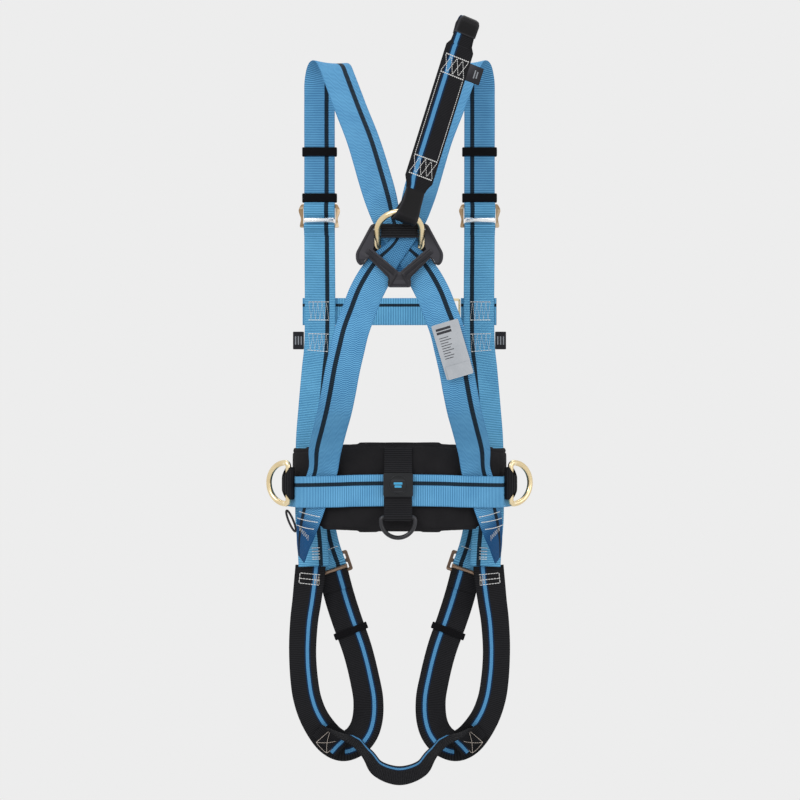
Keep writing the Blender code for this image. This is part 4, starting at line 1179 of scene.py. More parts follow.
@dataclass
class FrontStraps:
    """Front straps with their keepers, shoulder adjusters, sternal loops and seams."""

    white: Sewing
    fine: Sewing
    stations: int = 200
    bartacks: tuple[float, ...] = (0.1154, 0.1419, 0.1624, 0.1874)
    keepers: tuple[tuple[str, float], ...] = (("upper", -0.1173), ("lower", -0.1850))
    upper_fold: tuple[tuple[float, float], ...] = (
        (0.0012, -0.1905), (0.0030, -0.1935), (0.0072, -0.1960), (0.0085, -0.2000), (0.0090, -0.2050),
        (0.0082, -0.2090), (0.0060, -0.2125), (0.0048, -0.2150))
    lower_fold: tuple[tuple[float, float], ...] = (
        (0.0048, -0.2222), (0.0055, -0.2240), (0.0078, -0.2268), (0.0074, -0.2292),
        (0.0050, -0.2320), (0.0022, -0.2350),
        (0.0012, -0.2400))

    def straps(self) -> None:
        """The straps, and the four lines and two zigzags of the sternal seam on each."""
        for side in Side:
            strap = Ribbon.along(side.route(FRONT_ROUTE), self.stations)
            finish = "front_blue_near" if side is Side.LEFT else "front_blue_far"
            dress(strap.build(f"front_webbing_{side.word}"), finish, ROOT, f"front_strap_{side.word}")
            flip = -side.value
            for v in self.bartacks:
                self.white.seam(strap, [flip * 0.0172, flip * -0.0134], [v, v], both=True)
            for first in (0, 2):
                v = (self.bartacks[first] + 0.001, self.bartacks[first + 1] - 0.001)
                self.fine.zigzag(strap, (flip * 0.0165, flip * -0.0128), v, 9, both=True)
            for v in (0.4785, 0.4834, 0.4876, 0.4920, 0.4950):
                self.white.seam(strap, [flip * 0.002, flip * -0.010], [v, v], both=True)

    def keeper(self, name: str, centre: Array, u: Array, v: Array, half: tuple[float, float], height: float,
               body: str, node: str, thick: float = 0.0016) -> None:
        """An elastic band round a strap: a flattened loop in the plane of u and v.

        Args:
            name: the piece's name.
            centre: its middle.
            u: unit direction across the strap.
            v: unit direction through the strap.
            half: half sizes along u and v.
            height: the band's width.
            body: its CAD body.
            node: the CAD node that it replaces.
            thick: the band's thickness.
        """
        turn = np.linspace(0, 2 * math.pi, 64, endpoint=False)
        power = 0.32
        x = half[0] * np.sign(np.cos(turn)) * np.abs(np.cos(turn)) ** power
        y = half[1] * np.sign(np.sin(turn)) * np.abs(np.sin(turn)) ** 0.7
        ring = centre + x[:, None] * u + y[:, None] * v
        loop = Ribbon.swept(ring, np.cross(u, v), height, thick=thick, closed=True)
        dress(loop.build(name, columns=9), "elastic", body, node)

    def keepers_and_adjusters(self) -> None:
        """Two keepers and one adjuster on each side, and the webbing folded round the adjuster's bars."""
        for side in Side:
            x = side.value * FRONT_X
            for level, z in self.keepers:
                self.keeper(f"keeper_{level}_{side.word}", np.array((x, FRONT_Y, z)), np.array((1.0, 0, 0)),
                            np.array((0, 1.0, 0)), (WEBBING / 2 + 0.0024, 0.0030), 0.0132,
                            f"{level}_keeper_{side.word}", f"strap_keeper_{level}_{side.word}")
            outer = softened([(-0.0262, 0.0168), (-0.0305, 0.0085), (-0.0300, 0.0045), (-0.0266, -0.0050),
                              (-0.0290, -0.0175), (0.0290, -0.0175), (0.0266, -0.0050), (0.0300, 0.0045),
                              (0.0305, 0.0085), (0.0262, 0.0168)], 0.0028)
            hole = rounded(WEBBING / 2 + 0.0012, 0.0125, 0.0025, (0, -0.0005))
            shell = plate(f"adjuster_{side.word}", [outer, hole], 0.0030,
                          facing_back((x, FRONT_Y - 0.0040, -0.2115)), 0.0009)
            dress(shell, "bronze", ROOT, f"adjuster_frame_{side.word}")
            self.grip_bar(x, side)
            self.fold(f"adjuster_fold_upper_{side.word}", x, self.upper_fold, side)
            self.fold(f"adjuster_fold_lower_{side.word}", x, self.lower_fold, side)

    def grip_bar(self, x: float, side: Side) -> None:
        """The bright bar that grips the webbing: a round bar with eased ends."""
        length = WEBBING / 2 - 0.0008
        eased = np.array([0.0, 0.0004, 0.0012])
        along = np.concatenate([eased - length, length - eased[::-1]])
        radius = np.array([0.0020, 0.0031, 0.0035, 0.0035, 0.0031, 0.0020])
        place = Matrix.Translation((x, FRONT_Y - 0.0102, -0.2190))
        bar = lathe(f"adjuster_grip_{side.word}", np.column_stack([along, radius]), place)
        dress(bar, "bright", f"shoulder_adjuster_{side.word}", f"adjuster_bar_{side.word}")

    def fold(self, name: str, x: float, profile: list[tuple[float, float]], side: Side) -> None:
        """Webbing that turns over a crossbar of the adjuster and dips behind the grip bar.

        Args:
            name: the piece's name.
            x: the strap's middle.
            profile: rows of the distance behind the strap's plane and the height.
            side: which side.
        """
        rows = smooth([(x, FRONT_Y - away, z) for away, z in profile], 48)
        strap = Ribbon.swept(rows, (1.0, 0, 0), WEBBING + 0.0002, thick=0.0018)
        finish = "front_blue_far" if side is Side.LEFT else "front_blue_near"
        dress(strap.build(name), finish, ROOT)

    def sternal(self) -> None:
        """The small tabs beside the seams and the textile loops at the wearer's front."""
        for side in Side:
            sign = side.value
            x = sign * FRONT_X
            loop = [(x, FRONT_Y + 0.0031, -0.3790, 0, 1, 0),
                    (x - sign * 0.004, FRONT_Y + 0.012, -0.3960, 0, 1, 0.3),
                    (x - sign * 0.020, FRONT_Y + 0.020, -0.4080, 0, 1, 0),
                    (x - sign * 0.036, FRONT_Y + 0.014, -0.3980, 0, 1, 0)]
            strip = Ribbon.along(loop, 40, 0.020, thick=0.0030)
            loop_piece = strip.build(f"sternal_webbing_{side.word}")
            dress(loop_piece, "plain_black", ROOT, f"sternal_loop_{side.word}")
            at = (x + sign * (WEBBING / 2 + 0.0085), FRONT_Y, -0.3945)
            tab = plate(f"side_tab_{side.word}", [rounded(0.0080, 0.0130, 0.0012)], 0.0014, facing_back(at),
                        0.0004)
            dress(tab, "plain_tab", ROOT, f"sternal_tab_{side.word}")
            bars = [plate(f"tab_bar_{side.word}_{k}", [rounded(0.0009, 0.0062, 0.0004)], 0.0018,
                          facing_back((at[0] + (k - 1) * 0.0042, at[1], at[2])), 0.0002) for k in range(3)]
            dress(joined(f"side_tab_bars_{side.word}", bars), "tab_print", ROOT)

    def build(self) -> None:
        """Everything on the front straps."""
        self.straps()
        self.keepers_and_adjusters()
        self.sternal()


@dataclass
class DorsalAttachment:
    """The back plate, the band round its top bar, and the dorsal ring."""

    pivot: tuple[float, float, float] = (0.0, -0.1065, -0.280)
    lean: float = math.radians(42)
    half: float = 0.0292
    depth: float = 0.056
    wire: float = 0.004

    def frame(self) -> Matrix:
        """The ring's place: its bar on the pivot, its bow up and leaning back."""
        return Matrix.Translation(self.pivot) @ Matrix.Rotation(self.lean, 4, "X")

    def plate_outline(self) -> tuple[Outline, Outline]:
        """The plate's outer outline and its window with the two slots for the ring's legs."""
        half = [(0.0, 0.0420), (0.0370, 0.0420), (0.0580, 0.0030), (0.0570, -0.0080), (0.0505, -0.0140),
                (0.0425, -0.0010), (0.0135, -0.0300), (0.0160, -0.0415)]
        outer = softened(half[1:] + [(-x, y) for x, y in reversed(half) if x > 0], 0.0045, 6)
        right = [(0.0243, 0.0240), (0.0243, 0.0360), (0.0338, 0.0360), (0.0338, 0.0125), (0.0352, 0.0085),
                 (0.0015, -0.0210)]
        return outer, right + [(-x, y) for x, y in reversed(right)]

    def build(self) -> None:
        """The plate with its rim, its diagonal bars and its lining, the band and the ring."""
        outer, window = self.plate_outline()
        place = facing_back((0, PLATE_Y, PLATE_Z))
        body = plate("back_plate", [outer, window], 0.0040, place, 0.0010)
        up = np.array((0, -1.0, 0))
        face = 0.0020
        inset = np.array(outer) * np.array((0.945, 0.935)) + np.array((0, 0.0006))
        rim = np.column_stack([inset, np.full(len(inset), face)])
        dress(ridge("back_plate_rim", moved(rim, place), up, 0.0011, 0.0008, True), "plastic", ROOT)
        bars = []
        for sign in (-1, 1):
            t = np.linspace(0, 1, 24)
            x = sign * (0.0425 - 0.0380 * t)
            y = 0.0065 - 0.0315 * t
            path = moved(np.column_stack([x, y, np.full(24, face)]), place)
            bars.append(ridge(f"bar_{sign}", path, up, 0.0034, 0.0022, False))
            below = np.column_stack([sign * (0.0045 + 0.0085 * t), -0.0250 - 0.0150 * t, np.full(24, face)])
            foot = moved(below, place)
            bars.append(ridge(f"foot_{sign}", foot, up, 0.0020, 0.0012, False))
        dress(joined("back_plate_bars", bars), "plastic", ROOT)
        dress(body, "plastic", ROOT, "dorsal_plate")
        lining = [(-0.0375, 0.0370), (0.0375, 0.0370), (0.0420, 0.0090), (0.0340, -0.0010),
                  (-0.0340, -0.0010), (-0.0420, 0.0090)]
        behind = facing_back((0, self.pivot[1] + 0.0066, PLATE_Z))
        dress(plate("back_plate_lining", [softened(lining, 0.0030)], 0.0014, behind, 0.0004), "plastic", ROOT)
        t = np.linspace(-1, 1, 30)
        y = PLATE_Y - 0.0021 - 0.0012 * (1 - np.abs(t) ** 4)
        band = Ribbon.swept(np.column_stack([np.zeros(30), y, -0.2592 + 0.0084 * t]), (1.0, 0, 0), 0.0480,
                            thick=0.0014)
        dress(band.build("plate_bar_band"), "plain_black", ROOT, "dorsal_bar_band")
        matrix = self.frame()
        path = moved(d_path(self.half, self.depth, 0.006), matrix)
        normal = np.array(matrix.to_3x3() @ Vector((0, 1, 0)))
        ring = wire_ring("dorsal_ring_wire", path, normal, self.wire, 18)
        dress(ring, "gold", "dorsal_ring", "dorsal_d_ring")


@dataclass
class Extension:
    """The extension strap on the dorsal ring: a doubled strap, two looped ends and their covers."""

    dorsal: DorsalAttachment
    sewing: Sewing
    lean: float = math.radians(17.4)
    width: float = 0.0385
    length: float = 0.256

    def frame(self) -> Matrix:
        """Local Z along the strap, local X along the ring's bow, origin in the bow."""
        turn = math.atan(math.tan(self.lean) / math.cos(self.dorsal.lean))
        half = self.dorsal.half
        ring = self.dorsal.frame()
        origin = ring @ Vector((half * math.sin(turn), 0, self.dorsal.depth - half + half * math.cos(turn)))
        sideways = ring.to_3x3() @ Vector((math.cos(turn), 0, -math.sin(turn)))
        upward = Vector((math.sin(self.lean), 0, math.cos(self.lean)))
        axes = Matrix((sideways, upward.cross(sideways), upward)).transposed().to_4x4()
        return Matrix.Translation(origin) @ axes

    def loop(self, radius: float, middle: tuple[float, float], spread: float, top: float) -> Array:
        """A teardrop in local Y-Z: two legs down, round a middle and back up.

        Args:
            radius: radius of the bend.
            middle: local Y and Z of the bend's middle.
            spread: local Y of the legs.
            top: local Z of the legs' ends.

        Returns:
            Places of the middle line.
        """
        angle = np.radians(np.linspace(190, 350, 30))
        bend = np.column_stack([middle[0] + radius * np.cos(angle), middle[1] + radius * np.sin(angle)])
        legs = np.linspace(top, 0.030, 8)[:, None]
        first = np.column_stack([np.full(8, -spread), legs[:, 0]])
        last = np.column_stack([np.full(8, spread), legs[::-1, 0]])
        path = smooth([(0.0, *row) for row in np.vstack([first, bend[::3], last])], 90)
        return path

    def place(self, points: Array, flipped: bool) -> Array:
        """Loop places into the world, at the lower end or turned over at the upper one."""
        matrix = self.frame()
        if flipped:
            matrix = matrix @ Matrix.Translation((0, 0, self.length)) @ Matrix.Rotation(math.pi, 4, "Y")
        return moved(points, matrix)

    def build(self) -> None:
        """The strap with its seams, its two end loops, the small tab and its hinge end."""
        matrix = self.frame()
        side = np.array(matrix.to_3x3() @ Vector((1, 0, 0)))
        count = 170
        start = 0.032
        t = np.linspace(start, self.length - 0.010, count)
        wide = np.interp(t, [start, 0.037, 0.046, 0.2240, 0.2310, 0.2460],
                         [0.0270, 0.0290, 0.0385, 0.0385, 0.030, 0.0275])
        zero = np.zeros(count)
        middle = Ribbon.swept(moved(np.column_stack([zero, zero, t]), matrix), side, wide, thick=0.0050)
        middle.face = -middle.face if middle.face[0] @ np.array((0, -1.0, 0)) < 0 else middle.face
        dress(middle.build("extension_webbing"), "extension_black", "extension", "extension_strap")
        face = 0.0027
        for u in (-0.0158, 0.0158):
            self.sewing.seam(middle, [u, u], [0.0765 - start, 0.1850 - start], face, True)
        for low, high in ((0.0500, 0.0746), (0.1868, 0.2110)):
            for v in (low, high):
                for shift in (0.0, 0.0007):
                    self.sewing.seam(middle, [-0.0165, 0.0165], [v - start + shift] * 2, face, True)
            for phase in (0, 1):
                edge = (low - start + 0.002, high - start - 0.001)
                self.sewing.zigzag(middle, (-0.0160, 0.0160), edge if phase else edge[::-1], 4, face, True)
        lower = self.loop(0.0092, (0.0006, -0.0028), 0.0008, 0.040)
        low = np.clip((0.014 - lower[:, 2]) / 0.024, 0, 1)
        flare = 0.0255 + 0.0065 * low
        lower[:, 0] -= 0.0026 * low
        band = Ribbon.swept(self.place(lower, False), side, flare, thick=0.0028)
        dress(band.build("extension_lower_loop"), "cover", "extension", "extension_lower_sleeve")
        upper = self.loop(0.0080, (0.0, 0.0), 0.0010, 0.046)
        high = upper[:, 2]
        flare = 0.0255 + 0.0015 * np.clip(1 - np.abs(high - 0.001) / 0.02, 0, 1)
        under = Ribbon.swept(self.place(upper, True), side, flare, thick=0.0024)
        dress(under.build("extension_upper_loop"), "extension_end", "extension", "extension_upper_sleeve")
        cover = upper[np.abs(upper[:, 2]) < 0.0145]
        bend = np.clip((0.0010 - cover[:, 2]) / 0.0090, 0, 1)
        wrap = Ribbon.swept(self.place(cover, True), side, 0.0285 - 0.0085 * bend ** 2.2, thick=0.0042)
        dress(wrap.build("extension_end_cover"), "cover", "extension")
        beside = Matrix.Translation((self.width / 2 + 0.0090, 0, 0.2000))
        tab_place = matrix @ beside @ Matrix.Rotation(math.pi / 2, 4, "X")
        tab = plate("extension_side_tab", [rounded(0.0105, 0.0112, 0.0012)], 0.0016, tab_place, 0.0004)
        dress(tab, "plain_tab", "extension", "extension_tab")
        mark = [plate(f"mark_{k}", [rounded(0.0008, 0.0055 - 0.001 * k, 0.0003)], 0.0020,
                      tab_place @ Matrix.Translation((0.0005 + 0.0035 * k, 0, 0)), 0.0002) for k in range(2)]
        dress(joined("extension_tab_bars", mark), "tab_print", "extension")


@dataclass
class Chest:
    """The chest strap's two halves with their buckle, and the label on the back strap."""

    z: float = -0.3515
    y: float = FRONT_Y + 0.0062
    width: float = 0.040
    frame_x: float = 0.062

    def straps_and_buckle(self) -> None:
        """Two halves, a slotted frame and the bar plate that locks behind it."""
        y, z = self.y, self.z
        left = [(-FRONT_X - 0.0255, y, z, 0, 1, 0), (-0.04, y + 0.001, z, 0, 1, 0),
                (self.frame_x - 0.017, y, z, 0, 1, 0)]
        right = [(self.frame_x + 0.0285, y, z, 0, 1, 0), (0.105, y, z, 0, 1, 0),
                 (FRONT_X + 0.0255, y, z, 0, 1, 0)]
        for side, route in ((Side.LEFT, left), (Side.RIGHT, right)):
            strap = Ribbon.along(route, 120, self.width)
            dress(strap.build(f"chest_webbing_{side.word}"), "chest_blue", ROOT, f"chest_strap_{side.word}")
        outline = [rounded(0.0150, 0.0290, 0.004), rounded(0.0040, 0.0215, 0.0015, (-0.0070, 0)),
                   rounded(0.0040, 0.0215, 0.0015, (0.0070, 0))]
        shell = plate("chest_buckle", outline, 0.0032, facing_back((self.frame_x, y + 0.0040, z)), 0.0008)
        dress(shell, "gold", ROOT, "chest_buckle_frame")
        bar = [rounded(0.0130, 0.0200, 0.003, (-0.0070, 0)), rounded(0.0032, 0.0165, 0.0012)]
        beside = facing_back((self.frame_x + 0.0220, y + 0.0080, z))
        inner = plate("chest_buckle_plate", bar, 0.0030, beside, 0.0007)
        dress(inner, "gold", "chest_bar", "chest_buckle_bar")

    def label(self) -> None:
        """A grey film label with generic printed bars."""
        roll = math.radians(16.5)
        place = facing_back((0.0685, -0.1455, -0.4165), roll)
        film = plate("back_label", [rounded(0.0180, 0.0365, 0.0020)], 0.0008, place, 0.0002)
        dress(film, "film", ROOT, "id_label")
        marks = [plate("block", [rounded(0.0098, 0.0016, 0.0003)], 0.00020,
                       place @ Matrix.Translation((-0.0040, 0.0290 - 0.0046 * k, 0.00045)), 0.00005)
                 for k in range(2)]
        for k in range(9):
            half = (0.0060, 0.0075, 0.0052, 0.0070, 0.0058, 0.0074, 0.0048, 0.0066, 0.0056)[k]
            shift = Matrix.Translation((half - 0.0125, 0.0175 - 0.0034 * k, 0.00045))
            marks.append(plate("line", [rounded(half, 0.00045, 0.0002)], 0.00014, place @ shift, 0.00004))
        square = Matrix.Translation((-0.0080, -0.0255, 0.00045))
        outline = [rounded(0.0035, 0.0035, 0.0004), rounded(0.0022, 0.0022, 0.0003)]
        marks.append(plate("square", outline, 0.00014, place @ square, 0.00004))
        dress(joined("back_label_bars", marks), "print", ROOT)
        lower = plate("back_label_flap", [rounded(0.0165, 0.0085, 0.0015)], 0.0006,
                      place @ Matrix.Translation((0.0010, -0.0285, 0.0010)), 0.0002)
        dress(lower, "film", ROOT)

    def build(self) -> None:
        """The chest strap and the label."""
        self.straps_and_buckle()
        self.label()


@dataclass
class Belt:
    """The work belt: pad, webbing with its front buckle, side rings, centre loop and gear loop."""

    dark: Sewing
    lift: float = BELT_LIFT
    pivot: tuple[float, float, float] = (0.1580, -0.0045, -0.6005)
    ring_turn: float = math.radians(30)
    carrier_turn: float = math.radians(-28)

    def oval(self, angle: Array, outward: float) -> Array:
        """Places of the belt's superellipse: angle 0 is the middle of the back, positive towards +X."""
        power = 2 / BELT_POWER
        sine, cosine = np.sin(angle), np.cos(angle)
        x = (BELT_A + outward) * np.sign(sine) * np.abs(sine) ** power
        y = BELT_CENTRE_Y - (BELT_B + outward) * np.sign(cosine) * np.abs(cosine) ** power
        return np.column_stack([x, y])

    def strap_step(self, angle: Array) -> Array:
        """Extra distance from the oval over a shoulder strap: an eased rise and fall."""
        turn = np.abs(np.degrees(angle))
        level = np.minimum(np.clip((turn - 17.0) / 7.0, 0, 1), np.clip((62.0 - turn) / 7.0, 0, 1))
        return 0.0046 * level ** 2 * (3 - 2 * level)

    def stations(self, limit: float, count: int, outward: float, stepped: bool = False) -> Array:
        """Evenly spaced places along the oval, from minus the limit to the limit.

        Args:
            limit: the last angle.
            count: number of places.
            outward: distance from the oval.
            stepped: whether they rise over the shoulder straps.

        Returns:
            Rows of X and Y.
        """
        angles = np.linspace(-limit, limit, 1600)
        dense = self.oval(angles, outward + (self.strap_step(angles) if stepped else 0.0))
        run = travelled(np.column_stack([dense, np.zeros(len(dense))]))
        even = np.linspace(0, run[-1], count)
        return np.column_stack([np.interp(even, run, dense[:, k]) for k in range(2)])

    def webbing(self) -> None:
        """The belt webbing round the oval, dipping a little towards the sides, and its front buckle."""
        points = self.stations(math.radians(172.5), 360, self.lift, stepped=True)
        height = BELT_Z - 0.006 * (points[:, 0] / BELT_A) ** 2
        belt = Ribbon.swept(np.column_stack([points, height]), (0, 0, 1.0), 0.044, thick=0.002)
        # The belt's finish is a darker copy of the blue: painted shade.
        dress(belt.build("belt_band"), "belt_blue_shaded", ROOT, "belt_webbing")
        y = BELT_CENTRE_Y + BELT_B + self.lift
        holes = [rounded(0.0080, 0.0215, 0.002, (-0.0170, 0)), rounded(0.0080, 0.0215, 0.002, (0.0170, 0))]
        shell = plate("belt_buckle", [rounded(0.0310, 0.0290, 0.005)] + holes, 0.0034,
                      facing_back((0, y + 0.0052, BELT_Z)), 0.0009)
        dress(shell, "gold", ROOT, "belt_buckle_frame")
        bar = [rounded(0.0150, 0.0200, 0.003, (-0.0150, 0)), rounded(0.0042, 0.0160, 0.0012, (-0.0150, 0))]
        inner = plate("belt_buckle_plate", bar, 0.0030, facing_back((0.0320, y + 0.0094, BELT_Z)), 0.0008)
        dress(inner, "gold", "belt_bar", "belt_buckle_bar")

    def pad_edges(self, side: Array) -> tuple[Array, Array]:
        """Heights of the pad's top and bottom edges, from X as a share of the oval's half length."""
        top = -0.5380 - 0.0135 * side ** 2
        rise = 0.050 * np.clip((np.abs(side) - 0.66) / 0.32, 0, 1) ** 1.3
        return top, -0.6690 + 0.0055 * side ** 2 + rise

    def pad_shell(self, swell: float, outer: float) -> Array:
        """The pad as a grid of sections: a flat oval section carried along the belt's oval.

        Args:
            swell: half the pad's thickness.
            outer: distance of its middle surface from the oval.

        Returns:
            Places of shape (sections, points in a section, 3).
        """
        points = self.stations(math.radians(86), 150, outer)
        travel = unit(np.gradient(points, axis=0))
        normal = np.column_stack([travel[:, 1], -travel[:, 0]])
        side = points[:, 0] / BELT_A
        top, bottom = self.pad_edges(side)
        end = np.linspace(-1, 1, 150)
        taper = np.sqrt(np.clip(1 - np.abs(end) ** 40, 0.02, 1))
        t = np.sin(np.linspace(-0.5, 0.5, 34) * math.pi)
        bulge = np.clip(1 - np.abs(t) ** 9, 0, 1) ** 0.5
        s = np.concatenate([t, t[-2:0:-1]])
        h = np.concatenate([bulge, -bulge[-2:0:-1]])
        z = (top + bottom)[:, None] / 2 + (top - bottom)[:, None] / 2 * s
        away = swell * h[None, :] * taper[:, None]
        xy = points[:, None, :] + normal[:, None, :] * away[..., None]
        return np.dstack([xy, z])

    def seam_depth(self, points: Array) -> Array:
        """Depth of the sewn channels at each place: bells across two lines inside the pad's edges."""
        side = points[:, 0] / BELT_A
        top, bottom = self.pad_edges(side)
        depth = np.zeros(len(points))
        for line in (top - 0.0068, bottom + 0.0068):
            depth += np.exp(-((points[:, 2] - line) / 0.0011) ** 2)
        return np.clip(depth, 0, 1)

    def stuffed(self, piece: bpy.types.Object) -> None:
        """Swell the pad as cloth under pressure, with its movement capped, and keep the result."""
        remesh = piece.modifiers.new("voxels", "REMESH")
        remesh.mode = "VOXEL"
        remesh.voxel_size = 0.0040
        self.apply(piece)
        rest = np.empty(len(piece.data.vertices) * 3, np.float32)
        piece.data.vertices.foreach_get("co", rest)
        cloth = piece.modifiers.new("stuffing", "CLOTH")
        cloth.settings.use_pressure = True
        cloth.settings.uniform_pressure_force = 4.0
        cloth.settings.effector_weights.gravity = 0.0
        for step in range(1, 21):
            bpy.context.scene.frame_set(step)
        self.apply(piece)
        bpy.context.scene.frame_set(1)
        now = np.empty_like(rest)
        piece.data.vertices.foreach_get("co", now)
        shift = (now - rest).reshape(-1, 3)
        far = np.linalg.norm(shift, axis=1, keepdims=True)
        shift *= np.minimum(1, 0.0014 / np.maximum(far, 1e-9))
        piece.data.vertices.foreach_set("co", (rest.reshape(-1, 3) + shift).ravel())
        smoother = piece.modifiers.new("finer", "SUBSURF")
        smoother.levels = smoother.render_levels = 1
        self.apply(piece)

    def apply(self, piece: bpy.types.Object) -> None:
        """Put the result of the piece's modifiers into its mesh."""
        piece.data = evaluated(piece)
        piece.modifiers.clear()

    def pad(self) -> None:
        """The back pad: swollen by the cloth solver, then its seams drawn in and stitched."""
        grid = self.pad_shell(0.0048, -0.0060)
        piece = tube_grid("pad_cushion", grid)
        self.stuffed(piece)
        points = np.empty(len(piece.data.vertices) * 3, np.float32)
        normals = np.empty_like(points)
        piece.data.vertices.foreach_get("co", points)
        piece.data.vertex_normals.foreach_get("vector", normals)
        places = points.reshape(-1, 3)
        places = places - normals.reshape(-1, 3) * (0.0015 * self.seam_depth(places))[:, None]
        piece.data.vertices.foreach_set("co", places.ravel())
        piece.data.update()
        piece.data.polygons.foreach_set("use_smooth", np.ones(len(piece.data.polygons), bool))
        dress(piece, "pad", ROOT, "back_pad")
        points = self.stations(math.radians(84), 300, -0.0006)
        side = points[:, 0] / BELT_A
        top, bottom = self.pad_edges(side)
        for height in (top - 0.0068, bottom + 0.0068):
            line = Ribbon.swept(np.column_stack([points, height]), (0, 0, 1.0), 0.002)
            length = line.run[-1]
            self.dark.seam(line, [0, 0], [0.0, length], 0.0)

    def side_rings(self) -> None:
        """Both side rings, and the webbing carriers that pass round their straight bars."""
        along = Vector((0, 0, 1))
        for side in Side:
            sign = side.value
            pivot = Vector((sign * self.pivot[0], self.pivot[1], self.pivot[2]))
            outward = Vector((sign * math.cos(self.ring_turn), math.sin(self.ring_turn), 0))
            matrix = Matrix((along, outward.cross(along), outward)).transposed().to_4x4()
            place = Matrix.Translation(pivot) @ matrix
            path = moved(d_path(0.0292, 0.034, 0.005), place)
            ring = wire_ring(f"side_ring_wire_{side.word}", path, np.array(outward.cross(along)), 0.004, 18)
            dress(ring, "gold", f"side_ring_{side.word}", f"side_d_ring_{side.word}")
            way = np.array((sign * math.cos(self.carrier_turn), math.sin(self.carrier_turn), 0))
            across = np.array((-way[1], way[0], 0))
            angle = np.radians(np.linspace(-150, 150, 60))[:, None]
            centre = np.array(pivot) + way * (0.0084 * np.cos(angle)) + across * (0.0062 * np.sin(angle))
            height = 0.046 - 0.026 * np.clip((np.cos(angle[:, 0]) + 0.1) / 1.1, 0, 1) ** 1.6
            carrier = Ribbon.swept(centre, (0, 0, 1.0), height, thick=0.0022)
            carrier_piece = carrier.build(f"side_carrier_{side.word}")
            dress(carrier_piece, "plain_black", ROOT, f"side_ring_carrier_{side.word}")

    def centre_loop(self) -> None:
        """The short strap over the belt, its keeper with a plain round emblem, and the tool ring below."""
        rear = BELT_CENTRE_Y - BELT_B - self.lift
        x, pivot_y, pivot_z = -0.002, -0.0555, -0.6435
        angle = np.radians(np.linspace(165, 355, 26))
        bend = np.column_stack([pivot_y + 0.0044 * np.cos(angle), pivot_z + 0.0044 * np.sin(angle)])
        flat = np.array([(rear + 0.0030, -0.5480), (rear + 0.0028, -0.5700), (rear - 0.0034, -0.5840),
                         (rear - 0.0036, -0.6070), (rear - 0.0036, -0.6280)])
        rows = np.vstack([flat, bend[::3]])
        path = smooth([(x, y, z) for y, z in rows], 140)
        strap = Ribbon.swept(path, (1.0, 0, 0), 0.039, thick=0.0019)
        dress(strap.build("centre_loop_webbing"), "plain_black", ROOT, "tool_loop_strap")
        block = facing_back((x, rear - 0.0066, -0.5990))
        shell = plate("centre_keeper", [rounded(0.0205, 0.0165, 0.003)], 0.0030, block, 0.0010)
        dress(shell, "keeper", ROOT, "tool_loop_keeper")
        turn = np.linspace(0, 2 * math.pi, 64, endpoint=False)
        circle = np.column_stack([0.0128 * np.cos(turn), 0.0128 * np.sin(turn), np.full(64, 0.0015)])
        rim = ridge("emblem_rim", moved(circle, block), np.array((0, -1.0, 0)), 0.0009, 0.0008, True)
        disc = plate("emblem_disc", [[(0.0112 * math.cos(a), 0.0112 * math.sin(a)) for a in turn]], 0.0006,
                     block @ Matrix.Translation((0, 0, 0.0017)), 0.0002)
        dress(joined("keeper_emblem", [rim, disc]), "keeper", ROOT)
        bars = [plate("emblem_bar", [rounded(0.0060 - 0.0012 * k, 0.0015, 0.0006)], 0.0004,
                      block @ Matrix.Translation((0, 0.0021 - 0.0042 * k, 0.0021)), 0.0001) for k in range(2)]
        dress(joined("keeper_emblem_bars", bars), "emblem_blue", ROOT)
        for v in (0.004, 0.014):
            self.dark.seam(strap, [-0.017, 0.017], [v, v], -0.0012)
        matrix = Matrix.Translation((x, pivot_y, pivot_z)) @ Matrix.Rotation(math.pi, 4, "Y")
        path = moved(d_path(0.0235, 0.028, 0.004), matrix)
        ring = wire_ring("tool_ring_wire", path, np.array((0, 1.0, 0)), 0.003, 16)
        dress(ring, "black_steel", "tool_ring_body", "tool_ring")

    def gear_loop(self) -> None:
        """The small textile loop at the left hip: an oval of thin cord."""
        angle = np.linspace(0, 2 * math.pi, 60, endpoint=False)
        path = np.column_stack([-0.1560 + 0.0035 * np.sin(angle) - 0.006 * np.cos(angle), np.full(60, 0.0140),
                                -0.6560 + 0.0150 * np.cos(angle)])
        dress(wire_ring("hip_cord_loop", path, np.array((0, 1.0, 0)), 0.0016, 10), "cover", ROOT, "gear_loop")

    def build(self) -> None:
        """The whole belt."""
        self.webbing()
        self.pad()
        self.side_rings()
        self.centre_loop()
        self.gear_loop()


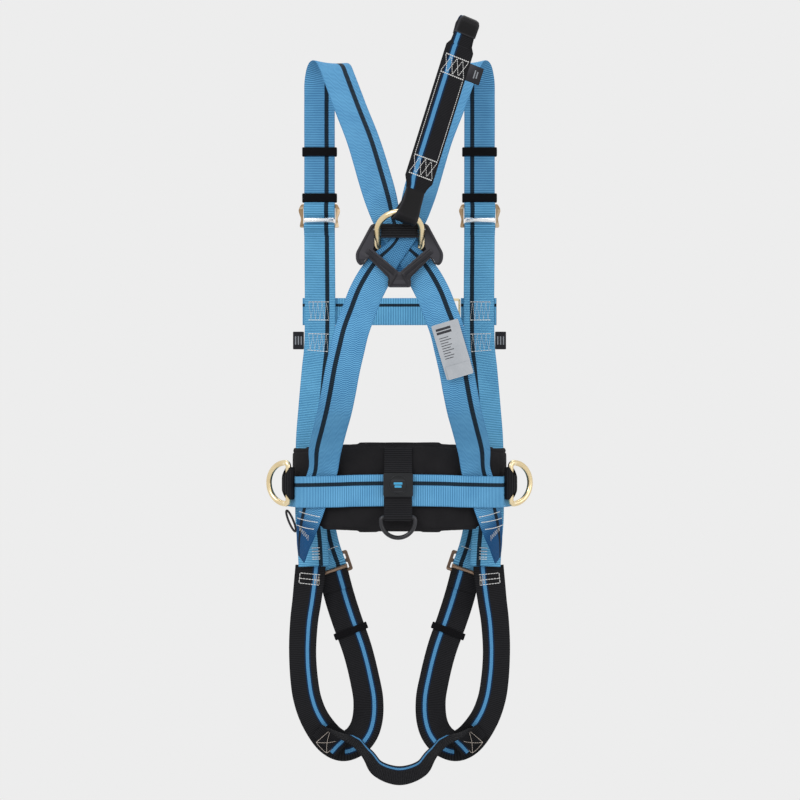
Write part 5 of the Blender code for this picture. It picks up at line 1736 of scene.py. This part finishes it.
@dataclass
class Legs:
    """Leg loops with their keepers and buckles, and the strap between them."""

    white: Sewing
    beige: Sewing
    front: FrontStraps
    box_run: tuple[float, float] = (0.268, 0.312)
    box: tuple[tuple[float, float], ...] = (
        (0.0125, 0.2759), (0.0120, 0.2997), (-0.0165, 0.2938), (-0.0155, 0.2769))
    sag: dict[float, float] = field(default_factory=lambda: {-0.0450: 0.0045, -0.0300: 0.0080})

    def leg(self, side: Side) -> None:
        """One leg loop. Its stripe changes edge where the webbing is turned over under the sewn box."""
        strap = Ribbon.along(side.route(LEG_ROUTE), 260)
        run = strap.run
        layout = np.full(260, Layout.AS_WOVEN.value)
        layout[(run > self.box_run[0]) & (run < self.box_run[1])] = Layout.PLAIN.value
        layout[run >= self.box_run[1]] = Layout.TURNED.value
        shown = strap.cut(0.026, 1.0)
        kept = layout[(run >= 0.026) & (run <= 1.0)]
        dress(shown.build(f"leg_webbing_{side.word}", kept), self.black(side), ROOT, f"leg_strap_{side.word}")
        flip = -side.value
        for v in (0.0395, 0.0475, 0.0545):
            self.white.seam(strap, [-0.0140 * flip, 0.0155 * flip], [v, v], both=True)
        self.white.seam(strap, [-0.0145 * flip] * 2, [0.0395, 0.0545], both=True)
        self.beige.zigzag(strap, (0.0070 * flip, 0.0155 * flip), (0.0400, 0.0540), 5, both=True)
        band = np.array((side.value * 0.0721, 0.067, -0.8245))
        at = int(np.argmin(np.linalg.norm(strap.centre - band, axis=1)))
        self.front.keeper(f"thigh_band_{side.word}", strap.centre[at], strap.side[at], strap.face[at],
                          (WEBBING / 2 + 0.0030, 0.0031), 0.0100, f"thigh_keeper_{side.word}",
                          f"leg_keeper_{side.word}")

    def black(self, side: Side) -> str:
        """The finish of this side's leg webbing."""
        return "striped_black_far" if side is Side.LEFT else "striped_black_near"

    def buckle(self, side: Side) -> None:
        """The blue buckle strap, the slotted frame and its loose bar."""
        ended = BUCKLE_ROUTE[:-1] + [(-0.1050, 0.0700, -0.7200, 0, -1, 0),
                                     (-0.1022, 0.0706, -0.7275, 0, -1, 0),
                                     (-0.1008, 0.0706, -0.7352, 0, -1, 0)]
        strap = Ribbon.along(side.route(ended), 80)
        finish = "front_blue_far" if side is Side.LEFT else "front_blue_near"
        dress(strap.build(f"buckle_webbing_{side.word}"), finish, ROOT, f"buckle_strap_{side.word}")
        flip = -side.value
        self.white.seam(strap, [-0.0015 * flip, 0.0190 * flip], [0.0815, 0.0800], both=True)
        turned = [(-0.1000, 0.0742, -0.7335, -0.3, -1, 0), (-0.0990, 0.0706, -0.7400, 0, -1, 0),
                  (-0.0958, 0.0722, -0.7520, 0, -1, 0), (-0.0920, 0.0752, -0.7660, 0, -1, 0)]
        fold = Ribbon.along(side.route(turned), 40, 0.0440)
        dress(fold.build(f"leg_buckle_fold_{side.word}"), self.black(side), ROOT)
        roll = side.value * math.radians(-19)
        place = (side.value * 0.1010, 0.0745, -0.7290)
        outline = [rounded(0.0285, 0.0155, 0.003), rounded(0.0240, 0.0040, 0.0015, (0, 0.0070)),
                   rounded(0.0240, 0.0045, 0.0015, (0, -0.0065))]
        shell = plate(f"leg_buckle_{side.word}", outline, 0.0028, facing_back(place, roll), 0.0007)
        dress(shell, "dark_bronze", ROOT, f"leg_buckle_frame_{side.word}")
        along = np.array([-0.022, -0.0216, -0.0208, 0.0208, 0.0216, 0.022])
        radius = np.array([0.0016, 0.0026, 0.0030, 0.0030, 0.0026, 0.0016])
        offset = Vector((0.0065 * math.sin(roll), -0.0062, -0.0065 * math.cos(roll)))
        turned = Matrix.Translation(Vector(place) + offset) @ Matrix.Rotation(-roll, 4, "Y")
        bar = lathe(f"leg_buckle_grip_{side.word}", np.column_stack([along, radius]), turned)
        dress(bar, "dark_bronze", f"leg_adjuster_{side.word}", f"leg_buckle_bar_{side.word}")

    def between(self) -> None:
        """The strap between the legs, with a sewn and crossed box at each end."""
        half = [(x, y, z - self.sag.get(x, 0.0), nx, ny, nz) for x, y, z, nx, ny, nz in SUB_PELVIC_HALF]
        route = half + Side.RIGHT.route(half[-2::-1])
        strap = Ribbon.along(route, 200, thick=0.0022)
        dress(strap.build("between_legs_webbing"), "pelvic_black", ROOT, "sub_pelvic_strap")
        for side in Side:
            leg = Ribbon.along(side.route(LEG_ROUTE), 260)
            corners = [(-side.value * u, v) for u, v in self.box]
            for path in ((0, 1, 2, 3, 0), (0, 2), (1, 3)):
                self.beige.seam(leg, [corners[k][0] for k in path], [corners[k][1] for k in path], 0.0076)

    def build(self) -> None:
        """Both legs and the strap between them."""
        for side in Side:
            self.leg(side)
            self.buckle(side)
        self.between()


@dataclass
class Studio:
    """Pale surroundings, soft lights and the camera."""

    pale: tuple = srgb(237, 237, 237)
    eye: tuple[float, float, float] = (0.0007, -1.584, -0.482)

    def surroundings(self) -> None:
        """A pale floor and a world of the same shade, so that no horizon shows."""
        half = 12.0
        points = np.array([(-half, -half, 0), (half, -half, 0), (half, half, 0), (-half, half, 0)])
        points[:, 2] = CAD_BOX[0][2] - 0.35
        floor = mesh_object("studio_floor", points, [(0, 1, 2, 3)])
        made = bpy.data.materials.new("studio_floor")
        made.use_nodes = True
        shader = made.node_tree.nodes["Principled BSDF"]
        shader.inputs["Base Color"].default_value = (0, 0, 0, 1)
        shader.inputs["Specular IOR Level"].default_value = 0.0
        shader.inputs["Emission Color"].default_value = self.pale
        shader.inputs["Emission Strength"].default_value = 1.0
        floor.data.materials.append(made)
        world = bpy.data.worlds.new("studio")
        world.use_nodes = True
        world.node_tree.nodes["Background"].inputs[0].default_value = self.pale
        world.node_tree.nodes["Background"].inputs[1].default_value = 1.0
        bpy.context.scene.world = world

    def light(self, name: str, place: tuple[float, float, float], size: float, power: float) -> None:
        """A soft square light that looks at the middle of the harness."""
        data = bpy.data.lights.new(name, "AREA")
        data.size = size
        data.energy = power
        lamp = bpy.data.objects.new(name, data)
        aim = Vector((0, 0, -0.5)) - Vector(place)
        lamp.matrix_world = Matrix.Translation(place) @ aim.to_track_quat("-Z", "Y").to_matrix().to_4x4()
        bpy.context.scene.collection.objects.link(lamp)

    def build(self) -> None:
        """Floor, world, lights, camera and colour handling."""
        self.surroundings()
        self.light("key", (-1.3, -2.2, 0.9), 1.2, 26.0)
        self.light("fill", (1.8, -1.8, 0.1), 1.6, 12.0)
        self.light("top", (0.2, 0.4, 1.6), 1.4, 10.0)
        data = bpy.data.cameras.new("camera")
        data.lens = 50
        data.sensor_width = 36
        camera = bpy.data.objects.new("camera", data)
        camera.location = self.eye
        camera.rotation_euler = (math.pi / 2, 0, 0)
        bpy.context.scene.collection.objects.link(camera)
        bpy.context.scene.camera = camera
        bpy.context.scene.view_settings.view_transform = "Standard"


def main() -> None:
    """Build the sub-assemblies in order and report each piece."""
    logging.basicConfig(level=logging.INFO, format="%(name)s %(message)s")
    for name in ("Cube", "Light", "Camera"):
        if name in bpy.data.objects:
            bpy.data.objects.remove(bpy.data.objects[name])
    GROUPS["woven_ribs"] = woven_ribs()
    GROUPS["surface_grain"] = surface_grain()
    Studio().build()
    white = Sewing("seams_white", ROOT, radius=0.00060, stitch=0.0044, gap=0.0)
    fine = Sewing("seams_fine", ROOT, radius=0.00024, stitch=0.0022)
    beige = Sewing("seams_beige", ROOT, radius=0.00040, gap=0.0)
    dark = Sewing("seams_black", ROOT, stitch=0.0026, gap=0.0008)
    extension_thread = Sewing("seams_extension", "extension", radius=0.00038, stitch=0.0022, gap=0.0005)
    ShoulderStraps(white=white, fine=fine).build()
    front = FrontStraps(white, fine)
    front.build()
    dorsal = DorsalAttachment()
    dorsal.build()
    Extension(dorsal, extension_thread).build()
    Chest().build()
    Belt(dark).build()
    Legs(white, beige, front).build()
    for sewing, finish in ((white, "white_thread"), (fine, "white_thread"), (beige, "beige_thread"),
                           (dark, "black_thread"), (extension_thread, "white_thread")):
        dress(sewing.build(), finish, sewing.body)


if __name__ == "__main__":
    main()
